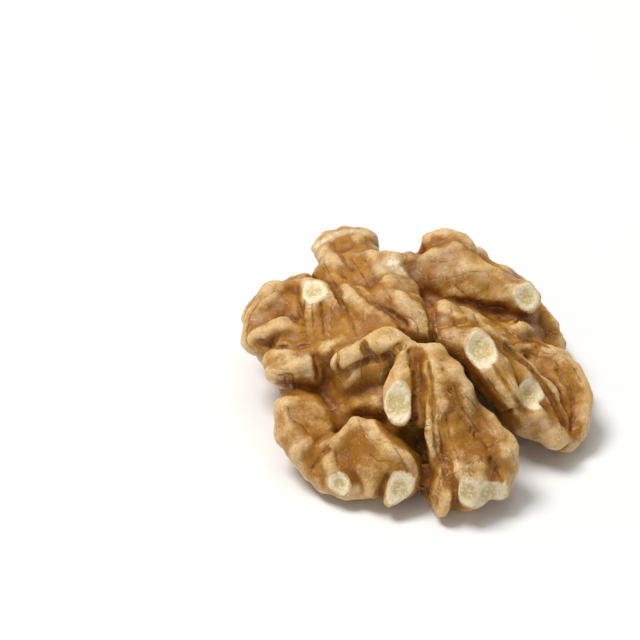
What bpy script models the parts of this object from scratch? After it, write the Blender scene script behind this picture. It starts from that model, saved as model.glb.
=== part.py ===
"""Half of a walnut kernel, shelled and dry, lying on its inner side.

It grew as one piece: two wings of folded flesh on each side of a short strap
that ends in a squared tab. The folds are chains of round sections, run
together into one skin by a distance formula, then nicked where they rubbed.
Lengths are in millimetres until the mesh is scaled to metres at the end.

The kernel's own frame has its origin under the middle of the piece, +Y along
the midline towards the tab, +X towards the wing with the long narrow fold and
+Z up. The folds on the face side are laid out in a slanting view of it.
"""
import math

import bmesh
import bpy
import numpy as np
from mathutils import Matrix, Vector

# The slanting view: its height above level, its turn from the midline and the
# distance of the eye, with the place on the rest plane that it is aimed at.
VIEW_HEIGHT = math.radians(40)
VIEW_TURN = math.radians(34)
VIEW_DISTANCE = 213.3
VIEW_AIM = (-9.4, 12.6)

ROUGH_VOXEL = 0.45          # cell of the first skin
FINE_VOXEL = 0.3            # cell of the fitted skin
SWELL = 0.1                 # swelling of the first skin, which closes hairline clefts
MELT = 0.2                  # how far neighbouring folds run into each other
TRIANGLES = 10500
LOW_SIDE = 0.0              # level where the lowest folds are worn flat
GROOVE_EDGE = 0.12          # rounding along grooves
CHIP_EDGE = 0.1             # rounding round rubbed spots

# Waves that bend the folds a little: reach, wavelength and seed.
WAVES = [(0.28, 7.0, 3), (0.10, 2.6, 5)]

SKIN_COLOUR = (0.48, 0.27, 0.10, 1.0)
SKIN_ROUGHNESS = 0.5

# Folds on the face side. Each point is across and up in the slanting view,
# from the point that it is aimed at, then its height over the rest plane and
# the radius of the fold there.
FACE_FOLDS = {
    "strap_left": [(0.9, 7, 7.5, 1.45), (1.8, 5.4, 8.8, 1.5), (3, 3, 10, 1.5), (4.6, 0.7, 10.6, 1.5),
        (6.6, -1.1, 10.6, 1.4)],
    "strap_right": [(3.8, 7.7, 7.8, 1.45), (4.4, 6.1, 9, 1.5), (5.9, 3.6, 10.4, 1.6),
        (8.1, 1, 11, 1.6), (10, -1.2, 10.6, 1.5)],
    "strap_mid": [(2.4, 7.9, 7.4, 1.5), (3.1, 5.8, 8.2, 1.6), (4.5, 3, 9.5, 1.7), (6.7, 0.4, 10, 1.7)],
    "strap_wall": [(1, 5.2, 5.2, 1.4), (2.1, 2.6, 6.2, 1.7), (4, 0, 7, 2.2), (7.8, -2.5, 7, 2.6)],
    "strap_floor": [(3.3, 5.6, 5.4, 1.6), (4.6, 3, 6.6, 2.2), (6.8, 0.2, 7.6, 2.4), (9.2, -2, 7, 2.8)],
    "a_rim": [(-2, 3.3, 8.9, 1.1), (-3.6, 3.1, 9, 1.1), (-5.3, 2.1, 8.7, 1.15), (-6.4, 0.7, 8.1, 1.2),
        (-6.8, -1, 7.4, 1.15), (-6.2, -2.5, 6.8, 1.1), (-5, -3.2, 6.8, 1)],
    "a_knob": [(-0.7, 2.9, 10, 1.5), (-0.7, 1.8, 9.9, 1.45), (-0.9, 0.2, 9.4, 1.1), (-0.8, -1.2, 9, 0.9)],
    "a_bar": [(-5.8, -1.7, 7.9, 1.1), (-4.6, -1.3, 8.7, 1.25), (-3.2, -1.2, 9, 1.2),
        (-2.1, -1.5, 9, 0.95)],
    "a_mid": [(-3.6, 0.7, 7.6, 1.5), (-2.2, 0.1, 8.3, 1.4)],
    "a_floor": [(-3, -0.2, 6, 2.2), (1.5, -2, 6.2, 2.8)],
    "b_upper": [(-4.1, -5, 6.6, 1.7), (-3, -4.9, 7, 2.05), (-1.8, -4.9, 7.2, 2)],
    "b_lower": [(-3.7, -5.7, 5.6, 1.3), (-1.7, -5.8, 6, 1.5)],
    "b_in": [(-1.7, -4.8, 7.4, 1.9), (-3, -4.8, 6.8, 1.9)],
    "b_root": [(-0.6, -4.6, 6.2, 1.5), (0.4, -4.6, 6.4, 1.5)],
    "d_lump1": [(2.5, -4.6, 9.2, 1.15), (3.6, -4, 9.9, 1.25), (4.6, -3.4, 10.2, 0.95)],
    "d_lump2": [(5.1, -2.7, 10.6, 1.15), (6.4, -2.2, 11.4, 1.45), (7.6, -2.5, 11.4, 1.15),
        (8.3, -3, 11, 0.9)],
    "d_back": [(0.4, -3, 8.6, 1.3), (1.8, -3, 9.1, 1.4), (3.2, -2.3, 9.5, 1.4), (4.8, -1.4, 10, 1.3)],
    "d_slope": [(2.6, -6.6, 6.6, 1.4), (4.1, -6.1, 7.3, 1.6), (5.8, -5.5, 8, 1.7), (7.2, -5, 8.6, 1.3)],
    "d_low": [(2.2, -7.8, 4.8, 1.5), (3.8, -8.1, 5.4, 1.6), (5.6, -8.3, 5.9, 1.6), (6.8, -8.4, 6.3, 1.3)],
    "e_face": [(8.5, -3.6, 11.3, 1), (8.2, -4.9, 10.8, 1.2), (8, -6.5, 10, 1.35), (7.9, -8, 9.2, 1.35),
        (8.1, -9, 8.5, 1.2)],
    "e_top1": [(10, -4, 10.9, 1), (10.2, -6, 9.7, 1), (10.3, -8, 8.2, 1), (10.3, -9.3, 7.2, 1)],
    "e_top2": [(11.4, -4, 11.3, 1.1), (11.9, -5.6, 10.7, 1.15), (12.2, -7.6, 9.4, 1.2),
        (12.2, -10, 7.6, 1.1), (12.2, -12.5, 6, 1.05), (12.1, -14.6, 4.4, 1.05)],
    "e_top3": [(12.8, -4.9, 10.7, 1.1), (13.3, -6.7, 9.7, 1.3), (13.8, -8.4, 8.5, 1.5),
        (14.3, -10.8, 7, 1.7), (14.7, -13.2, 5.4, 1.9), (15.1, -15.5, 4, 1.9), (15.5, -16.9, 3, 1.8)],
    "e_top4": [(14.4, -8.2, 8.2, 1), (16.1, -10.4, 6.9, 1.2), (17.7, -12.6, 5.4, 1.4),
        (18.1, -14.8, 3.9, 1.4), (17.9, -16.5, 2.9, 1.3)],
    "e_floor": [(10.5, -6.5, 7.2, 2), (12.5, -9, 5.6, 2.4), (14.8, -12, 3.6, 2.4)],
    "g_fin": [(12.3, -15.6, 4, 1.2), (12, -17.1, 2.8, 1.2), (11.6, -18.3, 1.6, 1)],
    "g_web": [(13.2, -16.6, 2.6, 1.2), (13.6, -15.8, 3, 1.2)],
    "f_rim": [(3.9, -10.7, 5.9, 0.85), (3, -11.4, 5.6, 0.85), (2.5, -12.5, 5, 0.9)],
    "f_left": [(2.9, -12, 5.2, 0.95), (2.2, -13.3, 4.4, 1.15), (1.7, -14.7, 3.5, 1.3),
        (1.7, -15.8, 2.6, 1.2)],
    "f_face": [(4.6, -12.6, 4.6, 1.4), (4.8, -13.8, 4.1, 1.5), (5.1, -15, 3.4, 1.5), (5, -16, 2.4, 1.3)],
    "f_base": [(2.8, -16.5, 1.6, 1), (4.2, -16.4, 1.5, 1.1), (5.8, -16.6, 1.6, 1.1)],
    "f_arch": [(4.1, -11, 5.8, 0.95), (5.4, -11.7, 5.7, 1.2), (7, -12.9, 5.2, 1.4),
        (8.2, -14.1, 4.5, 1.5), (8.4, -15.5, 3.6, 1.5), (8.2, -17, 2.6, 1.5), (8, -17.7, 2, 1.3)],
    "c_tip": [(-3.6, -9.1, 5.8, 0.9), (-2.8, -8.9, 6, 1)],
    "c_lobe": [(-3, -9.7, 5.3, 1.4), (-2.8, -11.4, 4.5, 1.6), (-2, -13, 3.6, 1.7),
        (-0.8, -14.3, 2.4, 1.5)],
    "c_face": [(-1.4, -9.3, 5, 1.7), (-0.4, -11, 4, 1.9), (0.6, -12.8, 3, 1.6)],
    "c_in": [(0.5, -9.3, 3.6, 1.8), (1.8, -11, 3.2, 1.6)],
    "lower_floor": [(0, -8.2, 2.8, 2), (4, -9, 2.8, 2.2), (7.8, -10.4, 2.4, 2), (10.4, -12.2, 2, 1.8)],
    "r1_crest": [(6.8, 5, 9.6, 1.3), (8.2, 5.2, 10.2, 1.5), (9.8, 4.9, 10.1, 1.6),
        (11.3, 5, 10.4, 1.9), (13, 5.1, 10.8, 2.1), (14.8, 4.8, 10.7, 1.9), (16.5, 4.1, 10.2, 1.7),
        (18, 3.1, 9.6, 1.6), (19.3, 2.5, 9.3, 1.6), (20.2, 2.2, 9.2, 1.6)],
    "r1_peak": [(11.8, 7, 10.6, 1.5), (13.2, 7, 10.9, 1.6), (14.3, 6.5, 10.8, 1.4)],
    "r1_low": [(7.2, 3.6, 9.6, 1.4), (8.4, 2.2, 10.2, 1.3), (9.5, 0.8, 10.4, 1.4), (10.1, 0, 10.3, 1.2)],
    "r1_slope": [(9.2, 3.4, 8.8, 1.8), (10.8, 2.3, 8, 1.9), (12.6, 1.9, 7.4, 1.9)],
    "r1_mid": [(12.6, 2.2, 7, 1.9), (14.6, 1.5, 6.7, 2), (16.8, 0.6, 6.2, 1.9)],
    "r1_under": [(17.6, 2.2, 7.8, 1.7), (18.8, 1.5, 7.6, 1.6), (19.4, 0.8, 6.8, 1.3)],
    "r2_head": [(12.1, 0, 11, 1.05), (13, 0.6, 11.4, 1.3), (14.1, 0.4, 11.2, 1.3),
        (14.8, -0.5, 10.8, 1.1)],
    "r2_finger": [(12.4, -1, 10.4, 1.2), (13.8, -2, 10.4, 1.4), (15.6, -3.1, 10.2, 1.65),
        (17.2, -4.9, 8.9, 1.6), (18.6, -6.8, 7.6, 1.6), (19.5, -8, 6.6, 1.45)],
    "r2_back": [(16.7, -2.1, 10, 1.3), (18.3, -3.4, 8.8, 1.3), (19.9, -5, 7.4, 1.2),
        (21.3, -6.8, 6.1, 1.2), (22.3, -8.2, 4.9, 1.3), (23.1, -9.8, 3.7, 1.2), (23.5, -11, 2.8, 1.1)],
    "r3_outer": [(22.9, -4.2, 5.9, 1), (24.4, -4.9, 5.1, 1.2), (25.6, -6.6, 4.1, 1.25),
        (26.1, -8.6, 3.2, 1.2), (25.7, -10.8, 2.3, 1.2), (24.6, -12, 1.7, 1.2)],
    "r4_up": [(19.8, 0, 6.8, 1.5), (21.4, 0, 5.6, 1.5), (22.5, -1.2, 4.8, 1.5), (23, -2.6, 4.3, 1.25)],
    "r4_mid": [(19, -1.3, 7.4, 1.1), (20.6, -1.4, 6.6, 1.1), (22, -1.9, 5.7, 1)],
    "r4_low": [(19.1, -3.1, 7, 0.9), (20.8, -3.3, 6.3, 1), (22.2, -3.9, 5.6, 0.9)],
    "r5_lump": [(25.2, -5.2, 3.4, 1.1), (25.6, -6.3, 3, 1.1)],
    "r_floor": [(11, 1.4, 6.8, 2.4), (15.5, -1.5, 5.6, 2.8), (19.5, -4.6, 4.2, 2.4), (22.5, -8, 2.6, 2)],
    "a_fill": [(-2.9, 2.4, 7.6, 1.5), (-4.1, 1.6, 7.5, 1.5), (-4.8, 0.6, 7.4, 1.5),
        (-5.2, -0.6, 7.5, 1.5)],
    "a_join": [(0.8, 3.6, 7.9, 1.4), (1.9, 2.2, 8.2, 1.5), (3, 0.2, 8.7, 1.5)],
    "b_root2": [(-0.4, -5.8, 5.4, 1.3), (1, -5.9, 5.8, 1.3), (2.2, -5.8, 6.2, 1.3)],
    "a_cone": [(-0.2, 2.6, 9.8, 1.4), (0.7, 1.2, 9.4, 1.5), (1.6, -0.2, 9.1, 1.4), (2.2, -1.2, 9.1, 1.1)],
    "a_cone2": [(0.2, 2, 9.6, 1.3), (0, 0.2, 9.2, 1.1), (0.3, -1.4, 8.8, 0.9)],
    "a_ridge": [(-2.9, 2.8, 8.8, 0.8), (-3, 1.6, 8.5, 0.8), (-2.6, 0.3, 8.5, 0.8)],
    "a_back": [(-2.2, 2.8, 7.4, 1.5), (-3.8, 2.4, 7.2, 1.6), (-5.2, 1.4, 6.6, 1.6), (-6, 0.2, 6, 1.6)],
    "b_lump": [(1.1, -4.1, 8, 1.2), (1.3, -5.1, 7.2, 1.3), (1.3, -6, 6.4, 1.1)],
    "r3_inner": [(20.8, -3.6, 5.7, 1), (22.5, -4.7, 5.1, 1.15), (23.6, -6.7, 4.1, 1.2),
        (24.2, -8.8, 3.2, 1.2), (24.5, -11, 2.3, 1.1)],
    "r2_cap": [(19, -8.6, 5.3, 1.5), (20.5, -9.7, 4.8, 1.6), (21.8, -10.7, 4, 1.5),
        (22.7, -11.5, 3.3, 1.3)],
    "r1_front": [(11.2, 3.9, 9.8, 1.5), (12.8, 3.8, 10.2, 1.75), (14.4, 3.6, 10.1, 1.7),
        (16, 3, 9.6, 1.5), (17.4, 2.4, 9.2, 1.4)],
    "d_slope2": [(2.8, -5.6, 7.9, 1.35), (4.2, -5, 8.6, 1.45), (5.7, -4.2, 9.4, 1.45),
        (7.1, -3.8, 10, 1.1)],
    "d_back2": [(-0.2, -2.4, 8.2, 1.4), (1.4, -2.2, 8.7, 1.5), (3.2, -1.5, 9.2, 1.5)],
    "b_up": [(-3.2, -3.6, 7.6, 1.3), (-1.6, -3.4, 8.2, 1.3), (-0.2, -3.6, 7.8, 1.3)],
    "d_slope3": [(6, -3.3, 9.9, 1.2), (7.2, -3.2, 10.3, 1.15), (8, -3.4, 10.4, 0.9)],
    "f_flank": [(1.8, -12.7, 4.4, 1.1), (1, -13.8, 3.4, 1.3), (0.5, -14.8, 2.6, 1.3),
        (0.8, -15.7, 2, 1.2)],
    "c_low": [(-0.7, -14.4, 2.3, 1.5), (0.2, -15, 2, 1.3), (1.2, -15.8, 1.8, 1.2),
        (2.3, -16.5, 1.5, 1.05)],
    "f_curl": [(4.6, -12.4, 5.1, 0.75), (5.4, -13.5, 4.9, 0.75), (6.4, -14.3, 4.6, 0.8)],
    "tab_rim": [(0, 7.2, 7.6, 0.65), (0.9, 8.1, 7.8, 0.7), (2.2, 8.4, 8, 0.7), (3.5, 8.5, 8.1, 0.7),
        (4.6, 8.1, 8.2, 0.7)],
    "r1_left": [(5.7, 5.5, 9.7, 1.3), (6.8, 5.2, 10.2, 1.5), (7.9, 4.9, 10.2, 1.4)],
}

# Folds out of the slanting view: the sheet that carries the wings, the far
# side and the feet. Each point is x, y and z in the kernel's frame, and radius.
FAR_FOLDS = {
    "l_sheet1": [(-1, -3, 6.8, 2), (-2, 3, 6.8, 2.2), (-3, 8, 6.4, 2)],
    "l_sheet2": [(-5, -1, 6.2, 2), (-6, 4, 6.4, 2), (-6, 9, 5.8, 2)],
    "l_sheet3": [(-9, 0, 4.6, 2), (-9.5, 5, 5, 2), (-9, 9, 4.8, 2)],
    "l_sheet4": [(-2.5, 8, 6.4, 2.2), (-5.5, 10, 5.6, 2.2), (-9, 10, 4.8, 2)],
    "r_sheet1": [(5, -6, 6, 2), (5, 0, 6.8, 2.4), (4, 6, 7, 2.4)],
    "r_sheet2": [(9, -7, 4, 2), (9, -1, 5.6, 2.4), (8, 5, 6.4, 2.6)],
    "r_sheet3": [(11.5, -5, 3.6, 1.8), (12, 1, 4.8, 2.2), (10, 7, 5.6, 2.4)],
    "l_back1": [(-4.5, 11, 6.5, 1.6), (-5, 12, 4.2, 1.7), (-5, 11.8, 2.4, 1.6)],
    "l_back2": [(-7.6, 11.6, 6.6, 1.4), (-8.2, 12, 4.2, 1.5), (-8, 11.4, 2.2, 1.5)],
    "l_back3": [(-9.6, 10.2, 5, 1.5), (-9.2, 9, 2.6, 1.6)],
    "l_rim": [(-3.5, 10.8, 2, 1.6), (-7, 10.4, 1.5, 1.8), (-9, 8.2, 1.6, 1.7), (-9.8, 5.4, 1.8, 1.6),
        (-10.8, 2.6, 2, 1.6), (-12.2, -0.5, 2, 1.6), (-11.8, -3.6, 1.5, 1.7)],
    "f_foot": [(-11.8, -3.6, 1.5, 1.7), (-9.6, -7.6, 1.4, 1.7)],
    "e_foot": [(-6.4, -11.2, 1.6, 1.5), (-4.4, -12.8, 1.5, 1.8)],
    "k1": [(4.6, 9, 8.8, 1.5), (6, 10.6, 6.6, 1.6), (6.8, 11.4, 4, 1.6), (6.6, 11.2, 2.2, 1.5)],
    "k2": [(7.2, 8, 9.4, 1.5), (9, 9.6, 7, 1.6), (10.2, 10.2, 4.4, 1.7), (10.2, 9.8, 2.2, 1.6)],
    "k3": [(9.2, 5.6, 9.6, 1.6), (11.2, 7, 7.2, 1.5), (12.8, 7.6, 4.6, 1.7), (13, 7, 2.2, 1.7)],
    "k4": [(10.6, 2.6, 8.6, 1.5), (12.6, 3.8, 6.4, 1.5), (14.4, 4.2, 4.2, 1.6), (14.6, 3.4, 2, 1.6)],
    "k5": [(11.8, -0.4, 6.6, 1.5), (13.6, 0.4, 4.8, 1.5), (14.6, 0, 3, 1.5), (14, -1.2, 1.8, 1.5)],
    "k_sheet": [(5.5, 8.5, 6, 2.4), (8.5, 7.8, 6, 2.6), (11.2, 4.8, 5.4, 2.6), (12.4, 0.5, 4.4, 2.4)],
    "k_cross1": [(6.2, 9.6, 7.8, 1.1), (8, 9.2, 8.2, 1.2), (9.6, 8, 8, 1.2)],
    "k_cross2": [(12.2, 5.4, 6.6, 1.2), (13.4, 3.2, 6, 1.2), (13.8, 1.6, 5.2, 1.2)],
    "k_rim": [(6.4, 10.6, 1.8, 1.5), (9.6, 9.4, 1.4, 1.9), (12.2, 6.6, 1.3, 2.2), (13.8, 3.4, 1.4, 2),
        (13.8, -1.2, 1.6, 1.5), (12, -4.5, 1.8, 1.4), (10.6, -8.5, 1.8, 1.3)],
    "l_floor": [(-10.5, 1, 3.4, 1.8), (-9, -2.5, 3, 1.9), (-7, -5.5, 3.2, 1.9)],
    "l_floor2": [(-8, 4, 5, 2), (-6.5, -1, 4.6, 2.2), (-5, -5, 4.6, 2.2)],
    "r_tip": [(5.5, -10.5, 2.6, 1.5), (8.4, -10, 2.2, 1.5)],
    "gap_k": [(3.4, 9.6, 5.6, 1.6), (4.4, 11.2, 4, 1.4)],
    "gap_a": [(-3, 9.2, 6.6, 1.6), (0.2, 8.6, 6.8, 1.8)],
}

# Grooves between folds, drawn in the slanting view, and their half width.
GROOVES = {
    "seam1": ([(1.2, 7.9), (2.3, 6.3), (3.3, 4.9)], 0.28),
    "seam2": ([(2.3, 4.5), (3.7, 3.2), (5.3, 1.8), (7.2, 0.6), (8.5, -0.4)], 0.3),
    "strap_side": ([(1.2, 3.2), (2.1, 1.8), (3, 0), (3.6, -1.5)], 0.18),
    "knob_side": ([(0.1, 1.6), (0.3, -0.2), (0.4, -2)], 0.16),
    "a_b": ([(-5.9, -2.2), (-4.5, -2.6), (-3, -2.6), (-1.3, -2.5)], 0.35),
    "under_d": ([(2, -5.8), (3, -5), (4.1, -4.4), (5.5, -3.9), (6.8, -3.5), (8.2, -2.7)], 0.4),
    "d_gap": ([(4.3, -2.2), (4.6, -3), (5.4, -3.7)], 0.4),
    "patch_side": ([(8.9, -3.2), (9.2, -4.6), (9.4, -7.5), (9.5, -9.8)], 0.26),
    "e_line1": ([(12.3, -5), (13, -7), (13.3, -9.2)], 0.23),
    "e_line2": ([(14, -10), (15.8, -11.8), (17.2, -14.3), (18.2, -16.2)], 0.25),
    "e_line3": ([(11.2, -8.2), (11.3, -10.5), (11.6, -13), (12.4, -15.5)], 0.26),
    "e_line4": ([(10.8, -4.2), (11.1, -6), (11.3, -8)], 0.23),
    "r2_r3": ([(18.7, -2.6), (20.6, -4.4), (22.5, -6.5), (23.8, -8.8), (24.5, -10.6)], 0.45),
    "r4_a": ([(18.9, -2.3), (20.4, -2.1), (21.7, -2.2), (22.9, -2.7)], 0.23),
    "r1_head": ([(11.1, 1.4), (11, 0), (11.3, -1.8)], 0.23),
    "c_crease": ([(0.8, -13), (-0.2, -14), (-0.7, -14.8)], 0.23),
    "knob_left": ([(-2, 1.6), (-1.7, 0), (-1.6, -1.6)], 0.2),
    "b_notch": ([(-0.6, -3.6), (-0.3, -4.6), (-0.2, -6)], 0.2),
    "r1_under": ([(18, 0.2), (19.2, -0.2), (20.4, 0.2)], 0.2),
    "r3_groove": ([(23.7, -5.1), (24.8, -7), (25.3, -9.2), (25.1, -11)], 0.23),
    "r2_mid": ([(17.2, -4.2), (18.2, -5.7), (19.3, -7.5), (20.2, -8.7)], 0.23),
    "r2_end": ([(18.4, -9.2), (19.4, -8.9), (20.4, -8.8)], 0.2),
    "d_left": ([(1.8, -3.2), (1.7, -4.2), (2, -5.1)], 0.2),
}

# Rubbed spots: a place in the slanting view with its height, the way the spot
# faces (right, away and up in that view), its depth and its ball's radius.
CHIPS = {
    "tab_end": ((2.2, 8.8, 7.6), (-0.2, 1, 0.3), 0.4, 5),
    "a_knob": ((-0.7, 3.1, 11.4), (-0.2, -0.25, 1), 0.55, 3.4),
    "r1_tip": ((20.3, 2.3, 9.8), (0.4, -0.6, 0.7), 0.7, 3.5),
    "r2_spot": ((16.6, -3, 11.4), (-0.05, -0.4, 1), 0.6, 2.4),
    "r2_spot2": ((21.5, -7.4, 7), (0.1, -0.5, 1), 0.22, 1.4),
    "e_patch": ((8, -7, 10.4), (-0.1, -1, 0.55), 0.45, 4.5),
    "f_tip": ((8.3, -16.7, 3.2), (0, -1, 0.5), 0.5, 4.5),
    "f_left": ((1.9, -16, 3), (-0.1, -1, 0.4), 0.25, 2.2),
    "e_tip": ((15.1, -17.3, 4), (-0.1, -1, 0.35), 0.6, 5),
    "e_tip2": ((17.7, -17.5, 3.4), (0.3, -1, 0.15), 0.35, 3.5),
}


def clear_scene():
    for obj in list(bpy.data.objects):
        bpy.data.objects.remove(obj)


def turned(right, away, up=0.0):
    """A direction or place of the slanting view's ground, in the kernel's frame."""
    c, s = math.cos(VIEW_TURN), math.sin(VIEW_TURN)
    return np.array((right * c + away * s, away * c - right * s, up))


def eye():
    x, y = VIEW_AIM
    return turned(x, y - VIEW_DISTANCE * math.cos(VIEW_HEIGHT), VIEW_DISTANCE * math.sin(VIEW_HEIGHT))


def seen_at(across, up, height):
    """The place at this height that the slanting view shows across and up from its aim."""
    c, s = math.cos(VIEW_HEIGHT), math.sin(VIEW_HEIGHT)
    ray = turned(across / VIEW_DISTANCE, c + up / VIEW_DISTANCE * s, up / VIEW_DISTANCE * c - s)
    return eye() + ray * (height - eye()[2]) / ray[2]


def smooth_chain(points, steps=4):
    """The points of a smooth curve through a chain, radius included."""
    points = np.array(points, float)
    first, last = 2 * points[0] - points[1], 2 * points[-1] - points[-2]
    points = np.vstack([first, points, last])
    curve = []
    for a, b, c, d in zip(points, points[1:], points[2:], points[3:]):
        for t in np.arange(steps) / steps:
            bend = (2 * a - 5 * b + 4 * c - d) * t ** 2 + (3 * b - a - 3 * c + d) * t ** 3
            curve.append(b + 0.5 * ((c - a) * t + bend))
    curve.append(points[-2])
    return np.array(curve)


def chain_distance(points, chain):
    """Distance from each point to the skin of a chain of round sections."""
    nearest = np.full(len(points), 1e9)
    for start, end in zip(chain, chain[1:]):
        way = end[:3] - start[:3]
        t = np.clip((points - start[:3]) @ way / (way @ way), 0, 1)
        middle = start[:3] + t[:, None] * way
        radius = start[3] + t * (end[3] - start[3])
        nearest = np.minimum(nearest, np.linalg.norm(points - middle, axis=1) - radius)
    return nearest


def wave_set(wavelength, seed, count=10):
    """Directions and phases of a few waves of about this length."""
    draw = np.random.default_rng(seed)
    way = draw.normal(size=(count, 3))
    way *= 2 * math.pi / wavelength / np.linalg.norm(way, axis=1, keepdims=True)
    way *= draw.uniform(0.7, 1.4, (count, 1))
    return way, draw.uniform(0, 2 * math.pi, count)


def ripple(points, waves):
    way, phase = waves
    return np.sin(points @ way.T + phase).sum(axis=1) * math.sqrt(2 / len(phase))


def cut_away(distance, tool, edge):
    """Takes the inside of a tool out of the form, with a rounded edge."""
    share = np.clip(0.5 - 0.5 * (distance + tool) / edge, 0, 1)
    return distance * (1 - share) - tool * share + edge * share * (1 - share)


class Form:
    """The kernel as a distance: below zero inside the flesh, above it outside."""

    REACH = 2.0

    def __init__(self, folds):
        self.folds = [smooth_chain(chain) for chain in folds.values()]
        self.waves = []
        for reach, wavelength, seed in WAVES:
            axes = [wave_set(wavelength, seed * 10 + axis) for axis in range(3)]
            self.waves.append((reach, axes))
        self.grooves = []
        self.chips = []

    def flesh(self, points):
        total = np.full(len(points), math.exp(-self.REACH / MELT))
        for chain in self.folds:
            low = (chain[:, :3] - chain[:, 3:]).min(axis=0) - self.REACH
            high = (chain[:, :3] + chain[:, 3:]).max(axis=0) + self.REACH
            near = np.flatnonzero(((points > low) & (points < high)).all(axis=1))
            if len(near):
                distance = chain_distance(points[near], chain)
                total[near] += np.exp(np.clip(-distance / MELT, -60, 60))
        return -MELT * np.log(total)

    def distance(self, points):
        bent = points
        for reach, axes in self.waves:
            bent = bent + reach * np.stack([ripple(points, waves) for waves in axes], axis=1)
        distance = self.flesh(bent)
        distance = np.maximum(distance, LOW_SIDE - points[:, 2])
        for chain in self.grooves:
            low = chain[:, :3].min(axis=0) - 1.5
            high = chain[:, :3].max(axis=0) + 1.5
            near = np.flatnonzero(((points > low) & (points < high)).all(axis=1))
            if len(near):
                tool = chain_distance(points[near], chain)
                distance[near] = cut_away(distance[near], tool, GROOVE_EDGE)
        for centre, radius in self.chips:
            tool = np.linalg.norm(points - centre, axis=1) - radius
            distance = cut_away(distance, tool, CHIP_EDGE)
        return distance

    def slope(self, points, step=0.05):
        here = self.distance(points)
        ahead = [self.distance(points + step * axis) for axis in np.eye(3)]
        return here, (np.stack(ahead, axis=1) - here[:, None]) / step

    def settled(self, points, steps, longest=0.3):
        """The points moved onto the skin along the slope of the form."""
        for _ in range(steps):
            distance, slope = self.slope(points)
            move = slope * (-distance / np.maximum((slope ** 2).sum(axis=1), 0.25))[:, None]
            length = np.linalg.norm(move, axis=1, keepdims=True)
            points = points + move * np.minimum(1, longest / np.maximum(length, 1e-9))
        return points

    def first_hit(self, across, up):
        """Where the line of the slanting view through this place meets the skin."""
        height = np.linspace(15, 0, 301)
        line = np.array([seen_at(across, up, z) for z in height])
        inside = np.flatnonzero(self.distance(line) < 0)
        return line[inside[0]] if len(inside) else None

    def add_grooves(self, grooves):
        chains = []
        for line, half_width in grooves.values():
            hits = [self.first_hit(*place) for place in line]
            hits = np.array([hit for hit in hits if hit is not None])
            hits = self.settled(hits, 4)
            radius = np.full((len(hits), 1), half_width)
            chains.append(smooth_chain(np.hstack([hits, radius])))
        self.grooves = chains

    def add_chips(self, chips):
        balls = []
        for place, facing, depth, radius in chips.values():
            way = turned(*facing)
            way /= np.linalg.norm(way)
            line = seen_at(*place) + np.linspace(-3, 3, 241)[:, None] * way
            inside = np.flatnonzero(self.distance(line) < 0)
            outermost = line[inside[-1]]
            balls.append((outermost + (radius - depth) * way, radius))
        self.chips = balls


def all_folds():
    folds = {}
    for name, chain in FACE_FOLDS.items():
        folds[name] = [(*seen_at(across, up, height), radius) for across, up, height, radius in chain]
    folds.update(FAR_FOLDS)
    return folds


def rough_skin(folds):
    """One closed skin round balls strung along every fold."""
    bm = bmesh.new()
    for chain in folds.values():
        last = None
        for *place, radius in smooth_chain(chain, 6):
            if last is None or math.dist(place, last) > 0.5 * radius:
                move = Matrix.Translation(Vector(place))
                bmesh.ops.create_icosphere(bm, subdivisions=2, radius=radius + SWELL, matrix=move)
                last = place
    mesh = bpy.data.meshes.new("kernel_half")
    bm.to_mesh(mesh)
    bm.free()
    obj = bpy.data.objects.new("kernel_half", mesh)
    bpy.context.scene.collection.objects.link(obj)
    reskin(obj, ROUGH_VOXEL)
    return obj


def bake_modifiers(obj):
    evaluated = obj.evaluated_get(bpy.context.evaluated_depsgraph_get())
    mesh = bpy.data.meshes.new_from_object(evaluated)
    obj.modifiers.clear()
    obj.data = mesh


def reskin(obj, voxel):
    remesh = obj.modifiers.new("skin", "REMESH")
    remesh.mode = "VOXEL"
    remesh.voxel_size = voxel
    bake_modifiers(obj)


def vertex_places(mesh):
    places = np.empty(len(mesh.vertices) * 3, np.float32)
    mesh.vertices.foreach_get("co", places)
    return places.reshape(-1, 3).astype(float)


def move_vertices(mesh, places):
    mesh.vertices.foreach_set("co", places.astype(np.float32).ravel())
    mesh.update()


def relax(mesh):
    bm = bmesh.new()
    bm.from_mesh(mesh)
    axes = dict(use_axis_x=True, use_axis_y=True, use_axis_z=True)
    bmesh.ops.smooth_vert(bm, verts=bm.verts, factor=0.5, **axes)
    bm.to_mesh(mesh)
    bm.free()


def fit_to_form(mesh, form, rounds=2):
    """Evens out the vertices and brings them onto the form, a few times over."""
    for _ in range(rounds):
        relax(mesh)
        move_vertices(mesh, form.settled(vertex_places(mesh), 2))


def thin_out(obj):
    """Fewer triangles, with the flats on the low side left exactly level."""
    obj.data.calc_loop_triangles()
    decimate = obj.modifiers.new("fewer_faces", "DECIMATE")
    decimate.ratio = TRIANGLES / len(obj.data.loop_triangles)
    decimate.use_collapse_triangulate = True
    bake_modifiers(obj)
    places = vertex_places(obj.data)
    places[:, 2] = np.where(places[:, 2] < LOW_SIDE + 0.04, LOW_SIDE, places[:, 2])
    move_vertices(obj.data, places)


def place_on_origin(mesh):
    """Puts the middle of the box's lower face at the origin, in metres."""
    places = vertex_places(mesh)
    low, high = places.min(axis=0), places.max(axis=0)
    base = np.array(((low[0] + high[0]) / 2, (low[1] + high[1]) / 2, low[2]))
    move_vertices(mesh, (places - base) * 0.001)


def skin_material():
    material = bpy.data.materials.new("kernel_skin")
    material.use_nodes = True
    shader = material.node_tree.nodes["Principled BSDF"]
    shader.inputs["Base Color"].default_value = SKIN_COLOUR
    shader.inputs["Roughness"].default_value = SKIN_ROUGHNESS
    shader.inputs["Metallic"].default_value = 0.0
    return material


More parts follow.
